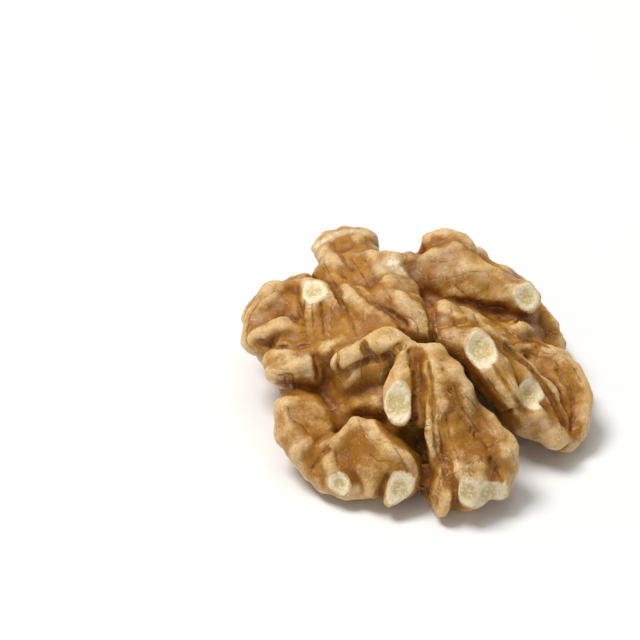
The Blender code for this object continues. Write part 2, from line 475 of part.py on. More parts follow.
def build_kernel_half():
    folds = all_folds()
    form = Form(folds)
    form.add_grooves(GROOVES)
    form.add_chips(CHIPS)
    obj = rough_skin(folds)
    fit_to_form(obj.data, form)
    reskin(obj, FINE_VOXEL)
    fit_to_form(obj.data, form)
    thin_out(obj)
    place_on_origin(obj.data)
    obj.data.materials.clear()
    obj.data.materials.append(skin_material())
    obj.data.shade_smooth()
    return obj


clear_scene()
build_kernel_half()
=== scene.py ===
"""Half of a walnut kernel, shelled and dry, lying on its inner side.

The skin is laid out as in the solid: chains of round folds run together by a
distance formula, with grooves and rubbed spots cut into it. Here it is drawn
finer, and gets creases, veins, wrinkles and its colours.
Lengths are in millimetres until the mesh is scaled to metres at the end.
The camera, the lights and the floor are laid out in metres.
"""
import math

import bmesh
import bpy
import numpy as np
from mathutils import Matrix, Vector, kdtree


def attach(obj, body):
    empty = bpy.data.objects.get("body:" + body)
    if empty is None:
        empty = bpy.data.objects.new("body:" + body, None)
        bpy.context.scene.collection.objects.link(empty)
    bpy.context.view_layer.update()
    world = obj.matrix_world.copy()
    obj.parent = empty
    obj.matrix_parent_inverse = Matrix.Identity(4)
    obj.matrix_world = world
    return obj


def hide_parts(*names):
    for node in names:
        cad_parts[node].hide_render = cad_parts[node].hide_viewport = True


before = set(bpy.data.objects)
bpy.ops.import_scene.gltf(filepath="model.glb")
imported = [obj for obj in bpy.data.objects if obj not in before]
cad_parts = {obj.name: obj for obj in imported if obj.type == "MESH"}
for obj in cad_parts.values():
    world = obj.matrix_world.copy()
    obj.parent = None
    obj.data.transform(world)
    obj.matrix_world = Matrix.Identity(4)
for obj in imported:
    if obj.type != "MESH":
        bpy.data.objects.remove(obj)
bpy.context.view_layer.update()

MM = 0.001

# The slanting view: its height above level, its turn from the midline and the
# distance of the eye, with the place on the rest plane that it is aimed at.
VIEW_HEIGHT = math.radians(40)
VIEW_TURN = math.radians(34)
VIEW_DISTANCE = 213.3
VIEW_AIM = (-9.4, 12.6)
LENS = 120.0                # with this sensor, the view is 64 mm wide at its aim
SENSOR = 36.0

ROUGH_VOXEL = 0.45          # cell of the first skin
SWELL = 0.1                 # swelling of the first skin, which closes hairline clefts
FINE_VOXEL = 0.215
MELT = 0.2                  # how far neighbouring folds run into each other
LOW_SIDE = 0.0              # level where the lowest folds are worn flat
GROOVE_EDGE = 0.12          # rounding along grooves
GROOVE_REACH = 1.5          # a groove isn't felt further away than this
CHIP_EDGE = 0.1             # rounding round rubbed spots
TALLEST = 15.0              # height over the rest plane that every fold stays under

# Waves that bend the folds a little: reach, wavelength and seed.
WAVES = [(0.28, 7.0, 3), (0.10, 2.6, 5)]
# Waves of the wrinkled skin: height, wavelength and seed.
WRINKLES = [(0.018, 2.4, 11), (0.02, 1.2, 12), (0.012, 0.6, 13)]

# How far out the skin looks for another fold, for the hollows and the pinches, which the colours darken
# as painted shade.
HOLLOW_REACH = 1.6
PINCH_REACH = 0.6
# How far round each place the skin is evened out, to find crests and dips, which the colours paint paler
# and darker, partly as painted light and shade.
WIDE_REACH = 1.1
NEAR_REACH = 0.4
FOOT_HEIGHT = 0.5           # the relief fades out below this height, so the feet stay flat

# Folds on the face side. Each point is across and up in the slanting view,
# from the point that it is aimed at, then its height over the rest plane and
# the radius of the fold there. The strap ends in the tab. Of the letters, a is
# the left wing and b the lobe under it, c and f the front left lobes, d the bar
# over them, e the fan and g its fin. r1 is the upper right lobe, r2 the long
# finger, and r3 to r5 the wing beyond it.
FACE_FOLDS = {
    "strap_left": [(0.9, 7, 7.5, 1.45), (1.8, 5.4, 8.8, 1.5), (3, 3, 10, 1.5), (4.6, 0.7, 10.6, 1.5),
        (6.6, -1.1, 10.6, 1.4)],
    "strap_right": [(3.8, 7.7, 7.8, 1.45), (4.4, 6.1, 9, 1.5), (5.9, 3.6, 10.4, 1.6),
        (8.1, 1, 11, 1.6), (10, -1.2, 10.6, 1.5)],
    "strap_mid": [(2.4, 7.9, 7.4, 1.5), (3.1, 5.8, 8.2, 1.6), (4.5, 3, 9.5, 1.7), (6.7, 0.4, 10, 1.7)],
    "strap_wall": [(1, 5.2, 5.2, 1.4), (2.1, 2.6, 6.2, 1.7), (4, 0, 7, 2.2), (7.8, -2.5, 7, 2.6)],
    "strap_floor": [(3.3, 5.6, 5.4, 1.6), (4.6, 3, 6.6, 2.2), (6.8, 0.2, 7.6, 2.4), (9.2, -2, 7, 2.8)],
    "a_rim": [(-2, 3.3, 8.9, 1.1), (-3.6, 3.1, 9, 1.1), (-5.3, 2.1, 8.7, 1.15), (-6.4, 0.7, 8.1, 1.2),
        (-6.8, -1, 7.4, 1.15), (-6.2, -2.5, 6.8, 1.1), (-5, -3.2, 6.8, 1)],
    "a_knob": [(-0.7, 2.9, 10, 1.5), (-0.7, 1.8, 9.9, 1.45), (-0.9, 0.2, 9.4, 1.1), (-0.8, -1.2, 9, 0.9)],
    "a_bar": [(-5.8, -1.7, 7.9, 1.1), (-4.6, -1.3, 8.7, 1.25), (-3.2, -1.2, 9, 1.2),
        (-2.1, -1.5, 9, 0.95)],
    "a_mid": [(-3.6, 0.7, 7.6, 1.5), (-2.2, 0.1, 8.3, 1.4)],
    "a_floor": [(-3, -0.2, 6, 2.2), (1.5, -2, 6.2, 2.8)],
    "b_upper": [(-4.1, -5, 6.6, 1.7), (-3, -4.9, 7, 2.05), (-1.8, -4.9, 7.2, 2)],
    "b_lower": [(-3.7, -5.7, 5.6, 1.3), (-1.7, -5.8, 6, 1.5)],
    "b_in": [(-1.7, -4.8, 7.4, 1.9), (-3, -4.8, 6.8, 1.9)],
    "b_root": [(-0.6, -4.6, 6.2, 1.5), (0.4, -4.6, 6.4, 1.5)],
    "d_lump1": [(2.5, -4.6, 9.2, 1.15), (3.6, -4, 9.9, 1.25), (4.6, -3.4, 10.2, 0.95)],
    "d_lump2": [(5.1, -2.7, 10.6, 1.15), (6.4, -2.2, 11.4, 1.45), (7.6, -2.5, 11.4, 1.15),
        (8.3, -3, 11, 0.9)],
    "d_back": [(0.4, -3, 8.6, 1.3), (1.8, -3, 9.1, 1.4), (3.2, -2.3, 9.5, 1.4), (4.8, -1.4, 10, 1.3)],
    "d_slope": [(2.6, -6.6, 6.6, 1.4), (4.1, -6.1, 7.3, 1.6), (5.8, -5.5, 8, 1.7), (7.2, -5, 8.6, 1.3)],
    "d_low": [(2.2, -7.8, 4.8, 1.5), (3.8, -8.1, 5.4, 1.6), (5.6, -8.3, 5.9, 1.6), (6.8, -8.4, 6.3, 1.3)],
    "e_face": [(8.5, -3.6, 11.3, 1), (8.2, -4.9, 10.8, 1.2), (8, -6.5, 10, 1.35), (7.9, -8, 9.2, 1.35),
        (8.1, -9, 8.5, 1.2)],
    "e_top1": [(10, -4, 10.9, 1), (10.2, -6, 9.7, 1), (10.3, -8, 8.2, 1), (10.3, -9.3, 7.2, 1)],
    "e_top2": [(11.4, -4, 11.3, 1.1), (11.9, -5.6, 10.7, 1.15), (12.2, -7.6, 9.4, 1.2),
        (12.2, -10, 7.6, 1.1), (12.2, -12.5, 6, 1.05), (12.1, -14.6, 4.4, 1.05)],
    "e_top3": [(12.8, -4.9, 10.7, 1.1), (13.3, -6.7, 9.7, 1.3), (13.8, -8.4, 8.5, 1.5),
        (14.3, -10.8, 7, 1.7), (14.7, -13.2, 5.4, 1.9), (15.1, -15.5, 4, 1.9), (15.5, -16.9, 3, 1.8)],
    "e_top4": [(14.4, -8.2, 8.2, 1), (16.1, -10.4, 6.9, 1.2), (17.7, -12.6, 5.4, 1.4),
        (18.1, -14.8, 3.9, 1.4), (17.9, -16.5, 2.9, 1.3)],
    "e_floor": [(10.5, -6.5, 7.2, 2), (12.5, -9, 5.6, 2.4), (14.8, -12, 3.6, 2.4)],
    "g_fin": [(12.3, -15.6, 4, 1.2), (12, -17.1, 2.8, 1.2), (11.6, -18.3, 1.6, 1)],
    "g_web": [(13.2, -16.6, 2.6, 1.2), (13.6, -15.8, 3, 1.2)],
    "f_rim": [(3.9, -10.7, 5.9, 0.85), (3, -11.4, 5.6, 0.85), (2.5, -12.5, 5, 0.9)],
    "f_left": [(2.9, -12, 5.2, 0.95), (2.2, -13.3, 4.4, 1.15), (1.7, -14.7, 3.5, 1.3),
        (1.7, -15.8, 2.6, 1.2)],
    "f_face": [(4.6, -12.6, 4.6, 1.4), (4.8, -13.8, 4.1, 1.5), (5.1, -15, 3.4, 1.5), (5, -16, 2.4, 1.3)],
    "f_base": [(2.8, -16.5, 1.6, 1), (4.2, -16.4, 1.5, 1.1), (5.8, -16.6, 1.6, 1.1)],
    "f_arch": [(4.1, -11, 5.8, 0.95), (5.4, -11.7, 5.7, 1.2), (7, -12.9, 5.2, 1.4),
        (8.2, -14.1, 4.5, 1.5), (8.4, -15.5, 3.6, 1.5), (8.2, -17, 2.6, 1.5), (8, -17.7, 2, 1.3)],
    "c_tip": [(-3.6, -9.1, 5.8, 0.9), (-2.8, -8.9, 6, 1)],
    "c_lobe": [(-3, -9.7, 5.3, 1.4), (-2.8, -11.4, 4.5, 1.6), (-2, -13, 3.6, 1.7),
        (-0.8, -14.3, 2.4, 1.5)],
    "c_face": [(-1.4, -9.3, 5, 1.7), (-0.4, -11, 4, 1.9), (0.6, -12.8, 3, 1.6)],
    "c_in": [(0.5, -9.3, 3.6, 1.8), (1.8, -11, 3.2, 1.6)],
    "lower_floor": [(0, -8.2, 2.8, 2), (4, -9, 2.8, 2.2), (7.8, -10.4, 2.4, 2), (10.4, -12.2, 2, 1.8)],
    "r1_crest": [(6.8, 5, 9.6, 1.3), (8.2, 5.2, 10.2, 1.5), (9.8, 4.9, 10.1, 1.6),
        (11.3, 5, 10.4, 1.9), (13, 5.1, 10.8, 2.1), (14.8, 4.8, 10.7, 1.9), (16.5, 4.1, 10.2, 1.7),
        (18, 3.1, 9.6, 1.6), (19.3, 2.5, 9.3, 1.6), (20.2, 2.2, 9.2, 1.6)],
    "r1_peak": [(11.8, 7, 10.6, 1.5), (13.2, 7, 10.9, 1.6), (14.3, 6.5, 10.8, 1.4)],
    "r1_low": [(7.2, 3.6, 9.6, 1.4), (8.4, 2.2, 10.2, 1.3), (9.5, 0.8, 10.4, 1.4), (10.1, 0, 10.3, 1.2)],
    "r1_slope": [(9.2, 3.4, 8.8, 1.8), (10.8, 2.3, 8, 1.9), (12.6, 1.9, 7.4, 1.9)],
    "r1_mid": [(12.6, 2.2, 7, 1.9), (14.6, 1.5, 6.7, 2), (16.8, 0.6, 6.2, 1.9)],
    "r1_under": [(17.6, 2.2, 7.8, 1.7), (18.8, 1.5, 7.6, 1.6), (19.4, 0.8, 6.8, 1.3)],
    "r2_head": [(12.1, 0, 11, 1.05), (13, 0.6, 11.4, 1.3), (14.1, 0.4, 11.2, 1.3),
        (14.8, -0.5, 10.8, 1.1)],
    "r2_finger": [(12.4, -1, 10.4, 1.2), (13.8, -2, 10.4, 1.4), (15.6, -3.1, 10.2, 1.65),
        (17.2, -4.9, 8.9, 1.6), (18.6, -6.8, 7.6, 1.6), (19.5, -8, 6.6, 1.45)],
    "r2_back": [(16.7, -2.1, 10, 1.3), (18.3, -3.4, 8.8, 1.3), (19.9, -5, 7.4, 1.2),
        (21.3, -6.8, 6.1, 1.2), (22.3, -8.2, 4.9, 1.3), (23.1, -9.8, 3.7, 1.2), (23.5, -11, 2.8, 1.1)],
    "r3_outer": [(22.9, -4.2, 5.9, 1), (24.4, -4.9, 5.1, 1.2), (25.6, -6.6, 4.1, 1.25),
        (26.1, -8.6, 3.2, 1.2), (25.7, -10.8, 2.3, 1.2), (24.6, -12, 1.7, 1.2)],
    "r4_up": [(19.8, 0, 6.8, 1.5), (21.4, 0, 5.6, 1.5), (22.5, -1.2, 4.8, 1.5), (23, -2.6, 4.3, 1.25)],
    "r4_mid": [(19, -1.3, 7.4, 1.1), (20.6, -1.4, 6.6, 1.1), (22, -1.9, 5.7, 1)],
    "r4_low": [(19.1, -3.1, 7, 0.9), (20.8, -3.3, 6.3, 1), (22.2, -3.9, 5.6, 0.9)],
    "r5_lump": [(25.2, -5.2, 3.4, 1.1), (25.6, -6.3, 3, 1.1)],
    "r_floor": [(11, 1.4, 6.8, 2.4), (15.5, -1.5, 5.6, 2.8), (19.5, -4.6, 4.2, 2.4), (22.5, -8, 2.6, 2)],
    "a_fill": [(-2.9, 2.4, 7.6, 1.5), (-4.1, 1.6, 7.5, 1.5), (-4.8, 0.6, 7.4, 1.5),
        (-5.2, -0.6, 7.5, 1.5)],
    "a_join": [(0.8, 3.6, 7.9, 1.4), (1.9, 2.2, 8.2, 1.5), (3, 0.2, 8.7, 1.5)],
    "b_root2": [(-0.4, -5.8, 5.4, 1.3), (1, -5.9, 5.8, 1.3), (2.2, -5.8, 6.2, 1.3)],
    "a_cone": [(-0.2, 2.6, 9.8, 1.4), (0.7, 1.2, 9.4, 1.5), (1.6, -0.2, 9.1, 1.4), (2.2, -1.2, 9.1, 1.1)],
    "a_cone2": [(0.2, 2, 9.6, 1.3), (0, 0.2, 9.2, 1.1), (0.3, -1.4, 8.8, 0.9)],
    "a_ridge": [(-2.9, 2.8, 8.8, 0.8), (-3, 1.6, 8.5, 0.8), (-2.6, 0.3, 8.5, 0.8)],
    "a_back": [(-2.2, 2.8, 7.4, 1.5), (-3.8, 2.4, 7.2, 1.6), (-5.2, 1.4, 6.6, 1.6), (-6, 0.2, 6, 1.6)],
    "b_lump": [(1.1, -4.1, 8, 1.2), (1.3, -5.1, 7.2, 1.3), (1.3, -6, 6.4, 1.1)],
    "r3_inner": [(20.8, -3.6, 5.7, 1), (22.5, -4.7, 5.1, 1.15), (23.6, -6.7, 4.1, 1.2),
        (24.2, -8.8, 3.2, 1.2), (24.5, -11, 2.3, 1.1)],
    "r2_cap": [(19, -8.6, 5.3, 1.5), (20.5, -9.7, 4.8, 1.6), (21.8, -10.7, 4, 1.5),
        (22.7, -11.5, 3.3, 1.3)],
    "r1_front": [(11.2, 3.9, 9.8, 1.5), (12.8, 3.8, 10.2, 1.75), (14.4, 3.6, 10.1, 1.7),
        (16, 3, 9.6, 1.5), (17.4, 2.4, 9.2, 1.4)],
    "d_slope2": [(2.8, -5.6, 7.9, 1.35), (4.2, -5, 8.6, 1.45), (5.7, -4.2, 9.4, 1.45),
        (7.1, -3.8, 10, 1.1)],
    "d_back2": [(-0.2, -2.4, 8.2, 1.4), (1.4, -2.2, 8.7, 1.5), (3.2, -1.5, 9.2, 1.5)],
    "b_up": [(-3.2, -3.6, 7.6, 1.3), (-1.6, -3.4, 8.2, 1.3), (-0.2, -3.6, 7.8, 1.3)],
    "d_slope3": [(6, -3.3, 9.9, 1.2), (7.2, -3.2, 10.3, 1.15), (8, -3.4, 10.4, 0.9)],
    "f_flank": [(1.8, -12.7, 4.4, 1.1), (1, -13.8, 3.4, 1.3), (0.5, -14.8, 2.6, 1.3),
        (0.8, -15.7, 2, 1.2)],
    "c_low": [(-0.7, -14.4, 2.3, 1.5), (0.2, -15, 2, 1.3), (1.2, -15.8, 1.8, 1.2),
        (2.3, -16.5, 1.5, 1.05)],
    "f_curl": [(4.6, -12.4, 5.1, 0.75), (5.4, -13.5, 4.9, 0.75), (6.4, -14.3, 4.6, 0.8)],
    "tab_rim": [(0, 7.2, 7.6, 0.65), (0.9, 8.1, 7.8, 0.7), (2.2, 8.4, 8, 0.7), (3.5, 8.5, 8.1, 0.7),
        (4.6, 8.1, 8.2, 0.7)],
    "r1_left": [(5.7, 5.5, 9.7, 1.3), (6.8, 5.2, 10.2, 1.5), (7.9, 4.9, 10.2, 1.4)],
}

# Folds out of the slanting view: the sheet that carries the wings, the far
# side and the feet. In their names l is left, r right and k the far right. Each
# point is x, y and z in the kernel's frame, and radius.
FAR_FOLDS = {
    "l_sheet1": [(-1, -3, 6.8, 2), (-2, 3, 6.8, 2.2), (-3, 8, 6.4, 2)],
    "l_sheet2": [(-5, -1, 6.2, 2), (-6, 4, 6.4, 2), (-6, 9, 5.8, 2)],
    "l_sheet3": [(-9, 0, 4.6, 2), (-9.5, 5, 5, 2), (-9, 9, 4.8, 2)],
    "l_sheet4": [(-2.5, 8, 6.4, 2.2), (-5.5, 10, 5.6, 2.2), (-9, 10, 4.8, 2)],
    "r_sheet1": [(5, -6, 6, 2), (5, 0, 6.8, 2.4), (4, 6, 7, 2.4)],
    "r_sheet2": [(9, -7, 4, 2), (9, -1, 5.6, 2.4), (8, 5, 6.4, 2.6)],
    "r_sheet3": [(11.5, -5, 3.6, 1.8), (12, 1, 4.8, 2.2), (10, 7, 5.6, 2.4)],
    "l_back1": [(-4.5, 11, 6.5, 1.6), (-5, 12, 4.2, 1.7), (-5, 11.8, 2.4, 1.6)],
    "l_back2": [(-7.6, 11.6, 6.6, 1.4), (-8.2, 12, 4.2, 1.5), (-8, 11.4, 2.2, 1.5)],
    "l_back3": [(-9.6, 10.2, 5, 1.5), (-9.2, 9, 2.6, 1.6)],
    "l_rim": [(-3.5, 10.8, 2, 1.6), (-7, 10.4, 1.5, 1.8), (-9, 8.2, 1.6, 1.7), (-9.8, 5.4, 1.8, 1.6),
        (-10.8, 2.6, 2, 1.6), (-12.2, -0.5, 2, 1.6), (-11.8, -3.6, 1.5, 1.7)],
    "f_foot": [(-11.8, -3.6, 1.5, 1.7), (-9.6, -7.6, 1.4, 1.7)],
    "e_foot": [(-6.4, -11.2, 1.6, 1.5), (-4.4, -12.8, 1.5, 1.8)],
    "k1": [(4.6, 9, 8.8, 1.5), (6, 10.6, 6.6, 1.6), (6.8, 11.4, 4, 1.6), (6.6, 11.2, 2.2, 1.5)],
    "k2": [(7.2, 8, 9.4, 1.5), (9, 9.6, 7, 1.6), (10.2, 10.2, 4.4, 1.7), (10.2, 9.8, 2.2, 1.6)],
    "k3": [(9.2, 5.6, 9.6, 1.6), (11.2, 7, 7.2, 1.5), (12.8, 7.6, 4.6, 1.7), (13, 7, 2.2, 1.7)],
    "k4": [(10.6, 2.6, 8.6, 1.5), (12.6, 3.8, 6.4, 1.5), (14.4, 4.2, 4.2, 1.6), (14.6, 3.4, 2, 1.6)],
    "k5": [(11.8, -0.4, 6.6, 1.5), (13.6, 0.4, 4.8, 1.5), (14.6, 0, 3, 1.5), (14, -1.2, 1.8, 1.5)],
    "k_sheet": [(5.5, 8.5, 6, 2.4), (8.5, 7.8, 6, 2.6), (11.2, 4.8, 5.4, 2.6), (12.4, 0.5, 4.4, 2.4)],
    "k_cross1": [(6.2, 9.6, 7.8, 1.1), (8, 9.2, 8.2, 1.2), (9.6, 8, 8, 1.2)],
    "k_cross2": [(12.2, 5.4, 6.6, 1.2), (13.4, 3.2, 6, 1.2), (13.8, 1.6, 5.2, 1.2)],
    "k_rim": [(6.4, 10.6, 1.8, 1.5), (9.6, 9.4, 1.4, 1.9), (12.2, 6.6, 1.3, 2.2), (13.8, 3.4, 1.4, 2),
        (13.8, -1.2, 1.6, 1.5), (12, -4.5, 1.8, 1.4), (10.6, -8.5, 1.8, 1.3)],
    "l_floor": [(-10.5, 1, 3.4, 1.8), (-9, -2.5, 3, 1.9), (-7, -5.5, 3.2, 1.9)],
    "l_floor2": [(-8, 4, 5, 2), (-6.5, -1, 4.6, 2.2), (-5, -5, 4.6, 2.2)],
    "r_tip": [(5.5, -10.5, 2.6, 1.5), (8.4, -10, 2.2, 1.5)],
    "gap_k": [(3.4, 9.6, 5.6, 1.6), (4.4, 11.2, 4, 1.4)],
    "gap_a": [(-3, 9.2, 6.6, 1.6), (0.2, 8.6, 6.8, 1.8)],
}

# Grooves between folds, drawn in the slanting view, and their half width.
GROOVES = {
    "seam1": ([(1.2, 7.9), (2.3, 6.3), (3.3, 4.9)], 0.28),
    "seam2": ([(2.3, 4.5), (3.7, 3.2), (5.3, 1.8), (7.2, 0.6), (8.5, -0.4)], 0.3),
    "strap_side": ([(1.2, 3.2), (2.1, 1.8), (3, 0), (3.6, -1.5)], 0.18),
    "knob_side": ([(0.1, 1.6), (0.3, -0.2), (0.4, -2)], 0.16),
    "a_b": ([(-5.9, -2.2), (-4.5, -2.6), (-3, -2.6), (-1.3, -2.5)], 0.35),
    "under_d": ([(2, -5.8), (3, -5), (4.1, -4.4), (5.5, -3.9), (6.8, -3.5), (8.2, -2.7)], 0.4),
    "d_gap": ([(4.3, -2.2), (4.6, -3), (5.4, -3.7)], 0.4),
    "patch_side": ([(8.9, -3.2), (9.2, -4.6), (9.4, -7.5), (9.5, -9.8)], 0.26),
    "e_line1": ([(12.3, -5), (13, -7), (13.3, -9.2)], 0.23),
    "e_line2": ([(14, -10), (15.8, -11.8), (17.2, -14.3), (18.2, -16.2)], 0.25),
    "e_line3": ([(11.2, -8.2), (11.3, -10.5), (11.6, -13), (12.4, -15.5)], 0.26),
    "e_line4": ([(10.8, -4.2), (11.1, -6), (11.3, -8)], 0.23),
    "r2_r3": ([(18.7, -2.6), (20.6, -4.4), (22.5, -6.5), (23.8, -8.8), (24.5, -10.6)], 0.45),
    "r4_a": ([(18.9, -2.3), (20.4, -2.1), (21.7, -2.2), (22.9, -2.7)], 0.23),
    "r1_head": ([(11.1, 1.4), (11, 0), (11.3, -1.8)], 0.23),
    "c_crease": ([(0.8, -13), (-0.2, -14), (-0.7, -14.8)], 0.23),
    "knob_left": ([(-2, 1.6), (-1.7, 0), (-1.6, -1.6)], 0.2),
    "b_notch": ([(-0.6, -3.6), (-0.3, -4.6), (-0.2, -6)], 0.2),
    "r1_under": ([(18, 0.2), (19.2, -0.2), (20.4, 0.2)], 0.2),
    "r3_groove": ([(23.7, -5.1), (24.8, -7), (25.3, -9.2), (25.1, -11)], 0.23),
    "r2_mid": ([(17.2, -4.2), (18.2, -5.7), (19.3, -7.5), (20.2, -8.7)], 0.23),
    "r2_end": ([(18.4, -9.2), (19.4, -8.9), (20.4, -8.8)], 0.2),
    "d_left": ([(1.8, -3.2), (1.7, -4.2), (2, -5.1)], 0.2),
}

# Rubbed spots: a place in the slanting view with its height, the way the spot
# faces (right, away and up in that view), its depth and its ball's radius.
CHIPS = {
    "tab_end": ((2.2, 8.8, 7.6), (-0.2, 1, 0.3), 0.4, 5),
    "a_knob": ((-0.7, 3.1, 11.4), (-0.2, -0.25, 1), 0.55, 3.4),
    "r1_tip": ((20.3, 2.3, 9.8), (0.4, -0.6, 0.7), 0.7, 3.5),
    "r2_spot": ((16.6, -3, 11.4), (-0.05, -0.4, 1), 0.6, 2.4),
    "r2_spot2": ((21.5, -7.4, 7), (0.1, -0.5, 1), 0.22, 1.4),
    "e_patch": ((8, -7, 10.4), (-0.1, -1, 0.55), 0.45, 4.5),
    "f_tip": ((8.3, -16.7, 3.2), (0, -1, 0.5), 0.5, 4.5),
    "f_left": ((1.9, -16, 3), (-0.1, -1, 0.4), 0.25, 2.2),
    "e_tip": ((15.1, -17.3, 4), (-0.1, -1, 0.35), 0.6, 5),
    "e_tip2": ((17.7, -17.5, 3.4), (0.3, -1, 0.15), 0.35, 3.5),
}

# Creases in the skin, drawn in the slanting view, with width and depth.
CREASES = [
    ([(13.2, -7.8), (13.9, -9.6), (15.5, -11.7), (16.8, -13.6), (17.9, -15.4), (18.2, -16.6)],
        0.22, 0.14),
    ([(15, -10.8), (16, -12), (16.6, -12.6)], 0.16, 0.08),
    ([(-4.5, 2.9), (-5.7, 2.2), (-6.5, 1.2), (-7.1, 0), (-7.3, -1.4), (-7.1, -2.6)], 0.16, 0.08),
    ([(-1.6, 1.6), (-1.6, 0.2), (-1.3, -1.4)], 0.2, 0.1),
    ([(-0.8, 1.4), (-0.7, -0.4)], 0.18, 0.08),
    ([(-2.2, 1.6), (-2.3, 0.8), (-1.7, -0.2)], 0.2, 0.08),
    ([(-4.8, -5.2), (-4, -5.5), (-3.2, -5.4), (-2.7, -5.7), (-2.4, -6.8)], 0.15, 0.08),
    ([(-3.6, -5.5), (-3.4, -6.2)], 0.12, 0.05),
    ([(2.2, -3.2), (1.8, -4.2), (2.1, -5.3)], 0.18, 0.1),
    ([(4.4, -2.5), (4.7, -3)], 0.25, 0.12),
    ([(3.3, 5.9), (4, 4.8), (5, 3.2)], 0.16, 0.06),
    ([(0.4, 5.8), (1, 4.4), (2.1, 2), (2.8, 0.4)], 0.18, 0.06),
    ([(4.6, 5.8), (5.6, 4.2), (7, 2.3)], 0.16, 0.05),
    ([(-3.1, -9.1), (-2.8, -9.9), (-2.2, -10.3), (-1.7, -10.6), (-1.3, -11.1)], 0.15, 0.1),
    ([(-0.7, -14.6), (0, -13.6), (0.7, -12.7)], 0.18, 0.08),
    ([(5.2, -13.6), (5.8, -14.1), (6.6, -14.1)], 0.15, 0.06),
    ([(1.6, -13.2), (1.8, -14.6), (2.5, -15.6)], 0.18, 0.06),
    ([(9.9, -4.2), (10.1, -6), (10, -7.8), (10.2, -9.4)], 0.18, 0.1),
    ([(13.5, -6.8), (14, -8.4), (14.8, -9.6), (15.8, -11)], 0.18, 0.1),
    ([(14.8, -7.8), (16, -9.2), (17.2, -11)], 0.16, 0.08),
    ([(12.6, -9.8), (13, -11.8), (13.8, -13.8)], 0.18, 0.1),
    ([(11.8, -9), (11.9, -11), (12.2, -13.2), (12.7, -15)], 0.18, 0.1),
    ([(16.4, -5.4), (17.4, -6.8), (18.5, -8)], 0.14, 0.05),
    ([(13, 2.2), (13.9, 1.4), (14.6, 0.2)], 0.18, 0.1),
    ([(13.8, 3.2), (15, 2.2), (16, 1.2)], 0.16, 0.06),
    ([(12.6, 4.1), (13.8, 4.4), (15, 4.8), (16, 4.8)], 0.14, 0.05),
    ([(11.6, 0.4), (11.4, -1), (11.8, -2.2)], 0.16, 0.06),
    ([(13.2, 1), (13.3, 0.2), (13.8, -0.6)], 0.2, 0.12),
    ([(19.4, -3.1), (20.8, -3.2), (22.4, -3.9)], 0.16, 0.1),
    ([(21, -5.2), (22.6, -7.4), (23.6, -9.4), (24.3, -11.2)], 0.16, 0.08),
    ([(23.8, -4.6), (25, -6.6), (25.5, -8.8), (25.1, -11)], 0.14, 0.06),
    ([(20, 0.8), (21.4, 0.2), (22.6, -1)], 0.14, 0.05),
    ([(24, -3.2), (25.2, -4.6), (25.9, -5.8)], 0.2, 0.08),
    ([(9, 0.2), (9.6, -0.2), (9.8, -1)], 0.16, 0.08),
    ([(8, 2), (9, 1.4), (9.8, 0.8)], 0.14, 0.05),
    ([(7.6, 4.2), (8.4, 3.2), (9.2, 2.2)], 0.14, 0.05),
    ([(11, 5.8), (12.4, 5.8), (13.8, 6.2)], 0.14, 0.04),
    ([(12, -16), (11.8, -17.2), (11.7, -18.2)], 0.15, 0.06),
    ([(7.2, -12.6), (8, -13.6), (8.7, -15)], 0.14, 0.05),
]

# The tab's broken end is only partly bare. A spot's ragged edge fades out over
# RUB_FADE, within RUB_SPILL times the spot's reach.
TAB_END_SHARE = 0.35
RUB_FADE = 0.3
RUB_SPILL = 1.2
CUT_FACE = 0.02             # skin this near to a spot's ball is the spot's face
RUB_SMOOTHING = 0.8         # share of the wrinkles that bare flesh lacks

# Paler rubbed skin without a cut: place in the slanting view, reach, strength.
RUBS = [
    (-0.2, 7.5, 0.6, 0.8),
    (0.4, 7.9, 0.6, 0.75),
    (1, 8.3, 0.6, 0.7),
    (1.7, 8.6, 0.6, 0.68),
    (2.4, 8.8, 0.6, 0.66),
    (3.1, 8.9, 0.6, 0.6),
    (3.8, 8.9, 0.6, 0.55),
    (4.5, 8.7, 0.6, 0.5),
    (-1.3, -3.8, 0.5, 0.5),
    (-1.2, -5.4, 0.5, 0.55),
    (-1.4, -4.6, 0.6, 0.5),
    (7.1, 5.7, 1.2, 0.66),
    (8.1, 4.8, 0.9, 0.62),
    (6.1, 5.2, 1.2, 0.45),
    (8.4, 3.6, 1.4, 0.3),
    (12.4, 0.1, 0.6, 0.35),
    (13.5, -1.4, 0.7, 0.3),
    (9.2, 4.6, 1.4, 0.28),
    (10.5, 6, 1.6, 0.3),
    (12.5, 6.6, 1.6, 0.3),
    (14.2, 5.8, 1.6, 0.3),
    (12, 4.6, 1.6, 0.28),
    (16, 4.4, 1.4, 0.26),
    (17.7, 3.2, 1.2, 0.25),
    (-4.5, 2, 1.4, 0.24),
    (-6.2, 0.2, 1.3, 0.24),
    (-3, 0.2, 1.4, 0.2),
    (3.2, -4.2, 1, 0.25),
    (5, -3.2, 1, 0.25),
    (6.6, -2.5, 1.2, 0.28),
    (8, 1.6, 1.2, 0.25),
    (9.2, 1, 1, 0.25),
    (22.5, -10.4, 0.7, 0.4),
    (23.3, -11.2, 0.6, 0.35),
    (21.6, -9.8, 0.6, 0.3),
    (3.5, -17, 0.7, 0.4),
    (2.5, -16.7, 0.7, 0.45),
    (4.6, -17.2, 0.6, 0.35),
    (18, -17, 0.9, 0.5),
    (17, -18, 0.8, 0.5),
    (9.5, 0.5, 0.7, 0.25),
    (7.5, -4, 0.7, 0.25),
    (8.7, -3.6, 0.5, 0.3),
    (-2, 4, 0.8, 0.3),
    (3, -4.8, 0.6, 0.25),
    (-2.8, -9.2, 0.6, 0.25),
    (-4.2, -8.8, 0.5, 0.25),
    (6.2, -2, 0.8, 0.2),
    (14.8, -1.6, 0.7, 0.3),
]

GROOVE_CREASE = 0.05        # depth of the crease that runs along every groove
LINE_END = 0.3              # a place further than this past a line's last point is beyond it

